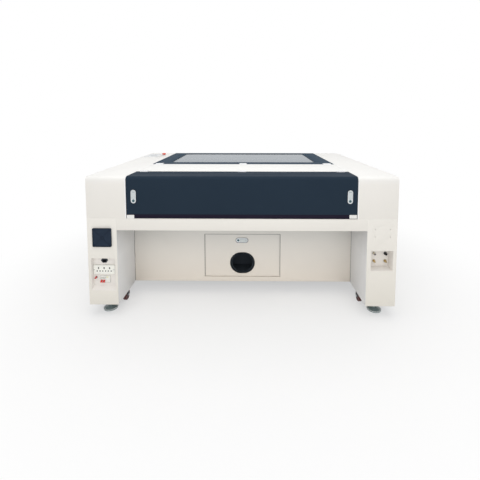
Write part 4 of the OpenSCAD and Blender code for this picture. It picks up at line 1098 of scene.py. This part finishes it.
class CUTTER_OT_fan_filter(bpy.types.Operator):
    """Makes the foam in the fan guard and the guard's screws"""
    bl_idname = "cutter.fan_filter"
    bl_label = "Fan Filter"

    def execute(self, context):
        fan = anchor("cabinet_fan_turn")
        rim, sunk = 4.5 * MM, 3 * MM
        width = high("fan_grille").x - low("fan_grille").x - 2 * rim
        mat = low("fan_grille").y + sunk
        bm = bmesh.new()
        prism(bm, rounded(width, width, 4 * MM), 0.4 * MM, (fan.x, mat, fan.z), REARWARD)
        finish_piece(bm, "fan_filter", "machine", ["foam"])
        row = Row(flat_head, "guard")
        apart = width - 14 * MM
        row.grid((fan.x - apart / 2, mat - 2 * MM, fan.z - apart / 2), REARWARD, 2, (apart, 0, 0),
                 2, (0, 0, apart))
        row.done("fan_guard_screws", "machine")
        return {"FINISHED"}


OUTLET_PITCH = 38.5 * MM
CAP_OUT = 20 * MM      # how far the fuse cap stands out of the pocket's tray
OUTLET_PLATE = 8 * MM      # thickness of the plate that holds the outlets


class CUTTER_OT_power_fittings(bpy.types.Operator):
    """Makes the outlets' contacts, the plate's screws and the breaker's face"""
    bl_idname = "cutter.power_fittings"
    bl_label = "Power Fittings"

    def execute(self, context):
        face = low("mains_sockets").y + CAP_OUT - OUTLET_PLATE
        centre = socket_centre()
        pitch = (OUTLET_PITCH, 0, 0)
        start = centre - Vector(pitch)
        earth = Row(plate(7.4, 13.4, 2, 0.3, 3), "black")
        earth.grid((start.x, face, centre.z + 11 * MM), REARWARD, 3, pitch)
        earth.done("outlet_earths", "machine")
        live = Row(plate(8.2, 7.2, 1.6, 0.3, 3), "black")
        apart = 20 * MM
        live.grid((start.x - apart / 2, face, centre.z - 10 * MM), REARWARD, 2, (apart, 0, 0),
                  3, pitch)
        live.done("outlet_contacts", "machine")
        screws = Row(flat_head, "zinc")
        reach = 68 * MM
        screws.grid((centre.x - reach, face, centre.z), REARWARD, 2, (2 * reach, 0, 0))
        screws.done("outlet_screws", "machine")
        breaker_face()
        return {"FINISHED"}


def socket_centre():
    """Middle of the outlets' plate, which is as wide as the node it belongs to."""
    corner, half, rise = low("mains_sockets"), 75 * MM, 63.5 * MM
    return Vector((corner.x + half, 0, corner.z + rise))


def breaker_face():
    """The breaker's test button, the dot beside it and a grey outline of painted shade round its front."""
    nose = low("breaker").y
    pivot = anchor("breaker_toggle")
    button = Vector((pivot.x + 32 * MM, nose, pivot.z + 16.5 * MM))
    bm = bmesh.new()
    prism(bm, rounded(12 * MM, 8 * MM, 1 * MM), 1.4 * MM, button, REARWARD, ease=0.4 * MM)
    finish_piece(bm, "breaker_test_button", "machine", ["yellow"])
    bm = bmesh.new()
    lathe(bm, [(0, 0), (2.2, 0), (2.2, 0.4), (0, 0.4)], button - Vector((11 * MM, 0, 0)), REARWARD,
          16)
    # The thin grey frame round the breaker's front is painted shade.
    centre = Vector((middle("breaker").x, nose, middle("breaker").z))
    frame_prism(bm, rounded(72.6 * MM, 46.6 * MM, 1.5 * MM), rounded(70 * MM, 44 * MM, 1 * MM),
                0.3 * MM, centre, REARWARD, 1)
    finish_piece(bm, "breaker_marks", "machine", ["black", "fuse"])


class CUTTER_OT_water_fittings(bpy.types.Operator):
    """Makes the air fitting's collet and the fittings' washers"""
    bl_idname = "cutter.water_fittings"
    bl_label = "Water Fittings"

    def execute(self, context):
        places = {mount["name"]: Vector(mount["pos_m"]) for mount in frame["record"]["mounts"]}
        wall = high("service_fittings").y
        air = places["air_inlet"]
        bm = bmesh.new()
        lathe(bm, [(4, 0), (6.2, 0), (6.2, 2), (5.4, 2.6), (4, 2.6), (4, 0)],
              (air.x, wall - 20 * MM, air.z), REARWARD)
        finish_piece(bm, "air_collet", "machine", ["navy"])
        bm = bmesh.new()
        for name in ("water_in", "water_out", "air_inlet", "cable_gland"):
            lathe(bm, [(9, 0), (12.6, 0), (12.6, 1), (9, 1), (9, 0)],
                  (places[name].x, wall, places[name].z), REARWARD)
        finish_piece(bm, "fitting_washers", "machine", ["zinc"])
        return {"FINISHED"}


# ---- Drive, laser and bed ----


BELT_W = 10 * MM


def belt_tooth(across):
    """One tooth of a belt, standing up from the origin; across is the belt's width direction."""
    foot, tip, height = 1.3 * MM, 0.9 * MM, 1.1 * MM
    outline = [(-foot, 0), (foot, 0), (tip, height), (-tip, height)]
    return lambda bm: prism(bm, outline, BELT_W, -BELT_W / 2 * across, across)


def toothed_run(row, start, end, pitch):
    """Teeth on the inner faces of one belt's two straight runs."""
    inner = 16.3 * MM      # from the pulleys' axes to a run's inner face
    clear = 8 * MM      # left without teeth at each end
    way = (end - start).normalized()
    count = int(((end - start).length - 2 * clear) / pitch) + 1
    first = start + clear * way
    row.grid(first + Vector((0, 0, -inner)), UP, count, pitch * way)
    row.grid(first + Vector((0, 0, inner)), -UP, count, pitch * way)


class CUTTER_OT_belt_teeth(bpy.types.Operator):
    """Sets the teeth on the straight runs of the three belts"""
    bl_idname = "cutter.belt_teeth"
    bl_label = "Belt Teeth"

    def execute(self, context):
        pitch = sizes().tooth_pitch
        shaft, idler = anchor("y_shaft_turn"), anchor("y_idler_turn")
        level = high("y_belts").x - BELT_W / 2
        row = Row(belt_tooth(ACROSS), "rubber")
        for side in SIDES:
            toothed_run(row, Vector((side * level, shaft.y, shaft.z)),
                        Vector((side * level, idler.y, idler.z)), pitch)
        row.done("y_belt_teeth", "machine")
        pulley, idler = anchor("x_pulley_turn"), anchor("x_idler_turn")
        level = middle("x_belt").y
        row = Row(belt_tooth(FORWARD), "rubber")
        toothed_run(row, Vector((pulley.x, level, pulley.z)), Vector((idler.x, level, idler.z)),
                    pitch)
        row.done("x_belt_teeth", "gantry")
        return {"FINISHED"}


class CUTTER_OT_laser_tube(bpy.types.Operator):
    """Makes the laser tube's bore, gas return, electrodes and water nipples"""
    bl_idname = "cutter.laser_tube"
    bl_label = "Laser Tube"

    def execute(self, context):
        lo, hi = BOXES["laser_tube"]
        axis = middle("laser_tube")
        inset, wall = 50 * MM, 1.2 * MM
        start, end = lo.x + inset, hi.x - inset
        span = end - start
        bm = bmesh.new()
        for r in (9 * MM, 20 * MM):
            ring = [(r, 0), (r, span), (r - wall, span), (r - wall, 0), (r, 0)]
            turned(bm, ring, (start, axis.y, axis.z), ACROSS, 20)
        finish_piece(bm, "laser_bore", "machine", ["inner"])
        bm = bmesh.new()
        coil = lay_out("spiral", turns=float(sizes().spiral_turns), radius=27 * MM,
                       length=0.42 * span, thickness=2.6 * MM,
                       start=Vector((start + 0.3 * span, axis.y, axis.z)),
                       turn=turned_to(ACROSS).to_euler(), finish=paint("inner"))
        bm.from_mesh(coil)
        bpy.data.meshes.remove(coil)
        finish_piece(bm, "gas_return", "machine", ["inner"])
        bm = bmesh.new()
        for x in (start + 30 * MM, end - 90 * MM):
            lathe(bm, [(12, 0), (16, 0), (16, 60), (12, 60), (12, 0)], (x, axis.y, axis.z), ACROSS)
        finish_piece(bm, "laser_electrodes", "machine", ["copper"])
        bm = bmesh.new()
        nipple = [(0, -3), (4.5, -3), (4.5, 6), (5.5, 8), (4.2, 12), (5.5, 14), (4.2, 18),
                  (2.6, 18), (2.6, 10), (0, 10)]
        for x in (start + 20 * MM, end - 20 * MM):
            lathe(bm, nipple, (x, axis.y, hi.z), UP, 16)
        finish_piece(bm, "tube_nipples", "machine", ["zinc"])
        return {"FINISHED"}


class CUTTER_OT_mirror_holders(bpy.types.Operator):
    """Makes the mirror plates with their three adjusting knobs"""
    bl_idname = "cutter.mirror_holders"
    bl_label = "Mirror Holders"

    def execute(self, context):
        optic = middle("laser_tube").z
        first = Vector((middle("first_mirror").x, middle("laser_tube").y, optic))
        second = Vector((middle("second_mirror").x, middle("second_mirror").y, optic))
        head = Vector((middle("head_carriage").x, middle("focus_tube").y, optic + 12.5 * MM))
        slant = math.sqrt(0.5)
        thick = 5 * MM
        for name, body, centre, facing, back in (
                ("first", "machine", first, (slant, slant, 0), 14.3),
                ("second", "gantry", second, (slant, -slant, 0), 14.3),
                ("head", "carriage", head, (-slant, 0, slant), 16.3)):
            facing = Vector(facing)
            face = centre + back * MM * facing
            bm = bmesh.new()
            prism(bm, rounded(30 * MM, 30 * MM, 4 * MM), thick, face, facing, ease=0.6 * MM)
            finish_piece(bm, name + "_mirror_plate", body, ["gantry"])
            knob = Row(draw_knob, "brass")
            knob.ring(face + thick * facing, facing, 3, 10 * MM)
            knob.done(name + "_mirror_knobs", body)
        return {"FINISHED"}


def draw_knob(bm):
    """An adjusting knob on its thin spindle, drawn facing +Z."""
    lathe(bm, [(0, 0), (1.5, 0), (1.5, 2), (3.6, 2), (3.8, 2.4), (3.8, 6.2), (3.2, 7), (0, 7)],
          (0, 0, 0), UP, 14)


class CUTTER_OT_cutting_head(bpy.types.Operator):
    """Makes the head's air fitting, clamp ring and plate screws"""
    bl_idname = "cutter.cutting_head"
    bl_label = "Cutting Head"

    def execute(self, context):
        tube_mid = middle("focus_tube")
        radius = 12.5 * MM
        level = low("focus_tube").z + 14 * MM      # below the carriage even with the tube raised
        bm = bmesh.new()
        lathe(bm, [(12.7, 0), (15, 0), (15.6, 0.6), (15.6, 6.4), (15, 7), (12.7, 7), (12.7, 0)],
              (tube_mid.x, tube_mid.y, level - 12 * MM), UP, 32)
        lathe(bm, [(0, 0), (4, 0), (4, 5), (5, 6), (3.8, 10), (5, 11), (3.8, 15), (2.2, 15),
                   (2.2, 8), (0, 8)],
              (tube_mid.x + 0.96 * radius, tube_mid.y, level), ACROSS, 16)
        finish_piece(bm, "head_air_fitting", "focus", ["brass"])
        row = Row(button_head, "zinc")
        apart = 48 * MM
        row.grid((tube_mid.x - apart / 2, head_plate_front(), low("head_carriage").z + 8 * MM),
                 FORWARD, 2, (apart, 0, 0), 2, (0, 0, 50 * MM))
        row.done("head_plate_screws", "carriage")
        return {"FINISHED"}


def head_plate_front():
    """Front face of the head's upright plate, ahead of the gantry's belt."""
    return high("x_belt").y + 14 * MM


class CUTTER_OT_slat_teeth(bpy.types.Operator):
    """Sets the low teeth along the top of every bed slat"""
    bl_idname = "cutter.slat_teeth"
    bl_label = "Slat Teeth"

    def execute(self, context):
        lo, hi = BOXES["bed_slats"]
        thick, apart = 3 * MM, 40 * MM
        pitch = 20 * MM
        slats = 1 + round((hi.x - lo.x - thick) / apart)
        teeth = int((hi.y - lo.y) / pitch)

        def draw(bm):
            prism(bm, [(-7 * MM, -0.2 * MM), (7 * MM, -0.2 * MM), (0, 3.5 * MM)], 0.9 * thick,
                  (-0.45 * thick, 0, 0), ACROSS)

        row = Row(draw, "bed")
        row.grid((lo.x + thick / 2, lo.y + pitch / 2, hi.z), UP, teeth, (0, pitch, 0), slats,
                 ((hi.x - lo.x - thick) / (slats - 1), 0, 0))
        row.done("slat_teeth", "machine")
        return {"FINISHED"}


# ---- Console, lid, vents and feet ----


class CUTTER_OT_console(bpy.types.Operator):
    """Makes the console's display, keys and corner screws"""
    bl_idname = "cutter.console"
    bl_label = "Console"

    def execute(self, context):
        corner = low("control_panel")
        width, depth, thick = 150 * MM, 240 * MM, 6 * MM
        centre = Vector((corner.x + width / 2, corner.y + depth / 2, DECK + thick))
        bm = bmesh.new()
        screen = centre + Vector((0, -45 * MM, -1.5 * MM))
        prism(bm, rounded(99 * MM, 69 * MM, 3.5 * MM), 1.1 * MM, screen, UP, ease=0.3 * MM)
        prism(bm, rounded(58 * MM, 38 * MM, 2 * MM), 0.3 * MM, screen + 1.1 * MM * UP, UP, 1)
        finish_piece(bm, "console_display", "machine", ["screen", "lens"])
        key = Row(plate(17, 12, 2, 1.6, ease=0.5), "keys")
        key.grid((centre.x - 39 * MM, centre.y + 15 * MM, centre.z), UP, 4, (26 * MM, 0, 0), 4,
                 (0, 21 * MM, 0))
        key.done("console_keys", "machine")
        screws = Row(flat_head, "zinc")
        across, along = width - 16 * MM, depth - 16 * MM
        screws.grid((centre.x - across / 2, centre.y - along / 2, centre.z), UP,
                    2, (across, 0, 0), 2, (0, along, 0))
        screws.done("console_screws", "machine")
        return {"FINISHED"}


class CUTTER_OT_lid_pieces(bpy.types.Operator):
    """Makes the window's seal and the lamps under the lid"""
    bl_idname = "cutter.lid_pieces"
    bl_label = "Lid Pieces"

    def execute(self, context):
        lo, hi = BOXES["lid_window"]
        centre = middle("lid_window")
        width, depth = hi.x - lo.x - 20 * MM, hi.y - lo.y - 20 * MM
        bm = bmesh.new()
        frame_prism(bm, rounded(width, depth, 30 * MM, 6),
                    rounded(width - 5 * MM, depth - 5 * MM, 27.5 * MM, 6), 2.4 * MM,
                    (centre.x, centre.y, hi.z), UP)
        finish_piece(bm, "window_seal", "lid", ["rubber"])
        underside = DECK - 2 * MM
        rear = low("lid_frame").y + 62 * MM
        bar = 6 * MM
        bm = bmesh.new()
        prism(bm, rounded(1200 * MM, 18 * MM, 2 * MM), bar, (0, rear, underside), -UP, ease=1 * MM)
        finish_piece(bm, "lid_lamp_bar", "lid", ["gantry"])
        row = Row(plate(8, 8, 1.5, 1, 2, 0.3), "yellow")
        count, pitch = 24, 50 * MM
        row.grid((-(count - 1) * pitch / 2, rear, underside - bar), -UP, count, (pitch, 0, 0))
        row.done("lid_lamps", "lid")
        return {"FINISHED"}


def draw_louvre(bm):
    """A pressed hood over one vent slot, open at its lower side; drawn facing +Z, up along +Y."""
    half, cheek = 62 * MM, 1 * MM
    hood = [(8, 0), (-3, 5.4), (-4, 5.0), (6.4, 0)]
    end = [(8.5, 0), (-3, 5.7), (-4, 5.2), (-4, 0)]
    for section, start, width in ((hood, -half, 2 * half), (end, -half - cheek, cheek),
                                  (end, half, cheek)):
        prism(bm, [(y * MM, z * MM) for y, z in section], width, (start, 0, 0), ACROSS)


class CUTTER_OT_louvres(bpy.types.Operator):
    """Presses a hood over every vent slot in the two side walls"""
    bl_idname = "cutter.louvres"
    bl_label = "Louvres"

    def execute(self, context):
        foot = low("water_side_housing").z + 120 * MM
        row = Row(draw_louvre, "body")
        apart = 150 * MM
        for side in SIDES:
            row.grid((side * SIDE, -apart / 2, foot), (side, 0, 0), 2, (0, apart, 0),
                     8, (0, 0, 16 * MM))
        row.done("side_louvres", "machine")
        return {"FINISHED"}


CHASSIS_FOOT = 112 * MM      # underside of the chassis tubes


class CUTTER_OT_base_pans(bpy.types.Operator):
    """Makes the sheets that close the housings and the bed's bay from below"""
    bl_idname = "cutter.base_pans"
    bl_label = "Base Pans"

    def execute(self, context):
        thick = 1.5 * MM
        level = CHASSIS_FOOT - thick
        gap = 3 * MM
        bm = bmesh.new()
        for side in SIDES:
            centre = (side * (PILLAR + SIDE) / 2, (REAR + FRONT) / 2, level)
            prism(bm, rounded(SIDE - PILLAR - 2 * gap, FRONT - REAR - 2 * PLATE_L, 1 * MM, 2),
                  thick, centre, UP)
        depth = FRONT - high("rear_panel").y - 2 * gap
        prism(bm, rounded(2 * (PILLAR - gap), depth, 1 * MM, 2), thick,
              (0, FRONT - gap - depth / 2, level), UP)
        finish_piece(bm, "base_pans", "machine", ["chassis"])
        return {"FINISHED"}


class CUTTER_OT_running_gear(bpy.types.Operator):
    """Makes the feet's rings of painted highlight and the castors' axle nuts"""
    bl_idname = "cutter.running_gear"
    bl_label = "Running Gear"

    def execute(self, context):
        corner = high("levelling_feet")
        r = 48 * MM
        bm = bmesh.new()
        ring = [(43, 9.4), (47.6, 7.8), (48.6, 7.8), (48.6, 6.0), (48.0, 6.0), (43, 8.8), (43, 9.4)]
        for x in SIDES:
            for y in SIDES:
                lathe(bm, ring, (x * (corner.x - r), y * (corner.y - r), 0), UP, 40)
        finish_piece(bm, "foot_rings", "machine", ["trim"])
        for name, body, joint in (("rear_left", "machine", "rear_castor_roll_left"),
                                  ("rear_right", "machine", "rear_castor_roll_right"),
                                  ("front_left", "fork_left", "front_castor_roll_left"),
                                  ("front_right", "fork_right", "front_castor_roll_right")):
            axle = anchor(joint)
            bm = bmesh.new()
            for side in SIDES:
                prism(bm, round_outline(8 * MM, 6), 5 * MM, axle + Vector((side * 17 * MM, 0, 0)),
                      (side, 0, 0), ease=0.5 * MM)
            finish_piece(bm, "axle_nuts_" + name, body, ["zinc"])
        return {"FINISHED"}


# ---- Stage ----


FLOOR_WHITE = (0.92, 0.92, 0.92)
WHITENS = (1.1, 2.4)      # distances from the middle between which the floor grows white


class CUTTER_OT_stage(bpy.types.Operator):
    """Makes the floor, the soft light and the camera"""
    bl_idname = "cutter.stage"
    bl_label = "Stage"

    def execute(self, context):
        settings = context.scene.cutter_stage
        make_floor(settings.glow)
        make_sky(settings.sky)
        make_lamp("overhead", (0.0, -0.9, 4.2), -10, (5.0, 4.0), settings.key)
        make_lamp("rear_fill", (0.0, -5.0, 2.6), 64, (6.0, 3.0), settings.fill)
        make_camera(settings)
        context.scene.view_settings.view_transform = "Standard"
        return {"FINISHED"}


def plain_sheet(name, half):
    """A square sheet on the ground and its empty material, for the stage only."""
    corners = [(-half, -half, 0), (half, -half, 0), (half, half, 0), (-half, half, 0)]
    data = bpy.data.meshes.new(name)
    data.from_pydata(corners, [], [(0, 1, 2, 3)])
    sheet = bpy.data.objects.new(name, data)
    bpy.context.scene.collection.objects.link(sheet)
    material = bpy.data.materials.new(name)
    material.use_nodes = True
    material.node_tree.nodes.clear()
    data.materials.append(material)
    return material.node_tree


def wire_up(tree, kind, *sources, **inputs):
    """A node with its first sockets linked to the sources and others set by name."""
    node = tree.nodes.new("ShaderNode" + kind)
    for key, value in inputs.items():
        node.inputs[key.replace("_", " ")].default_value = value
    for socket, source in zip(node.inputs, sources):
        tree.links.new(source, socket)
    return node


def seen_directly(tree):
    """1 for the light that reaches the eye, straight or off or through a surface, else 0."""
    rays = tree.nodes.new("ShaderNodeLightPath").outputs
    last = rays["Is Camera Ray"]
    for kind in ("Is Glossy Ray", "Is Transmission Ray"):
        either = wire_up(tree, "Math", last, rays[kind])
        either.operation = "MAXIMUM"
        last = either.outputs[0]
    return last


def make_floor(glow):
    """A white floor that keeps the machine's shadow and whitens away from it."""
    tree = plain_sheet("floor", 40.0)
    diffuse = wire_up(tree, "BsdfDiffuse", Color=(*FLOOR_WHITE, 1.0))
    emission = wire_up(tree, "Emission", Color=(1.0, 1.0, 1.0, 1.0))
    reach = wire_up(tree, "VectorMath", tree.nodes.new("ShaderNodeTexCoord").outputs["Object"])
    reach.operation = "LENGTH"
    start, end = WHITENS
    far = wire_up(tree, "MapRange", reach.outputs["Value"], From_Min=start, From_Max=end,
                  To_Min=glow)
    far.interpolation_type = "SMOOTHSTEP"
    seen = wire_up(tree, "Math", seen_directly(tree), far.outputs["Result"])
    seen.operation = "MULTIPLY"
    mix = wire_up(tree, "MixShader", seen.outputs[0], diffuse.outputs[0], emission.outputs[0])
    wire_up(tree, "OutputMaterial", mix.outputs[0])


def make_sky(strength):
    """Even white light from all round, in front of a white backdrop."""
    world = bpy.context.scene.world or bpy.data.worlds.new("sky")
    bpy.context.scene.world = world
    world.use_nodes = True
    tree = world.node_tree
    tree.nodes.clear()
    light, backdrop = (wire_up(tree, "Background", Color=(1.0, 1.0, 1.0, 1.0), Strength=level)
                       for level in (strength, 1.0))
    mix = wire_up(tree, "MixShader", seen_directly(tree), light.outputs[0], backdrop.outputs[0])
    wire_up(tree, "OutputWorld", mix.outputs[0])


def make_lamp(name, place, tilt, size, power):
    """A soft rectangular light over the machine's middle line; the tilt is in degrees."""
    data = bpy.data.lights.new(name, "AREA")
    data.shape = "RECTANGLE"
    data.size, data.size_y = size
    data.energy = power
    lamp = bpy.data.objects.new(name, data)
    lamp.location = place
    lamp.rotation_euler = (math.radians(tilt), 0.0, 0.0)
    bpy.context.scene.collection.objects.link(lamp)


def make_camera(settings):
    data = bpy.data.cameras.new("camera")
    data.lens = settings.lens
    data.shift_x = settings.shift_x
    data.shift_y = settings.shift_y
    camera = bpy.data.objects.new("camera", data)
    camera.location = (settings.camera_x, settings.camera_y, settings.camera_z)
    camera.rotation_euler = (math.pi / 2 - settings.pitch, 0.0, settings.turn)
    bpy.context.scene.collection.objects.link(camera)
    bpy.context.scene.camera = camera


# ---- Panel and run ----


SETTINGS = {"cutter_colours": CutterColours, "cutter_sizes": CutterSizes,
            "cutter_stage": CutterStage}
STEPS = (CUTTER_OT_paint_frame, CUTTER_OT_eased_sheets, CUTTER_OT_cover_trim,
         CUTTER_OT_latch_details, CUTTER_OT_bay_highlights, CUTTER_OT_shadow_gaps,
         CUTTER_OT_hinge_screws, CUTTER_OT_panel_screws, CUTTER_OT_fan_filter,
         CUTTER_OT_power_fittings, CUTTER_OT_water_fittings, CUTTER_OT_belt_teeth,
         CUTTER_OT_laser_tube, CUTTER_OT_mirror_holders, CUTTER_OT_cutting_head,
         CUTTER_OT_slat_teeth, CUTTER_OT_console, CUTTER_OT_lid_pieces, CUTTER_OT_louvres,
         CUTTER_OT_base_pans, CUTTER_OT_running_gear, CUTTER_OT_stage)


class CUTTER_PT_panel(bpy.types.Panel):
    """Lists the machine's settings and steps"""
    bl_label = "Laser Cutter"
    bl_idname = "CUTTER_PT_panel"
    bl_space_type = "VIEW_3D"
    bl_region_type = "UI"
    bl_category = "Laser Cutter"

    def draw(self, context):
        for name, group in SETTINGS.items():
            box = self.layout.box()
            box.label(text=group.__doc__)
            for field in group.__annotations__:
                box.prop(getattr(context.scene, name), field)
        for step in STEPS:
            self.layout.operator(step.bl_idname)


CLASSES = (*SETTINGS.values(), *STEPS, CUTTER_PT_panel)


def register():
    for cls in CLASSES:
        bpy.utils.register_class(cls)
    for name, group in SETTINGS.items():
        setattr(bpy.types.Scene, name, PointerProperty(type=group))


def unregister():
    for name in SETTINGS:
        delattr(bpy.types.Scene, name)
    for cls in reversed(CLASSES):
        bpy.utils.unregister_class(cls)


def run_steps():
    for step in STEPS:
        group, name = step.bl_idname.split(".")
        getattr(getattr(bpy.ops, group), name)()


def main():
    register()
    run_steps()


if __name__ == "__main__":
    main()
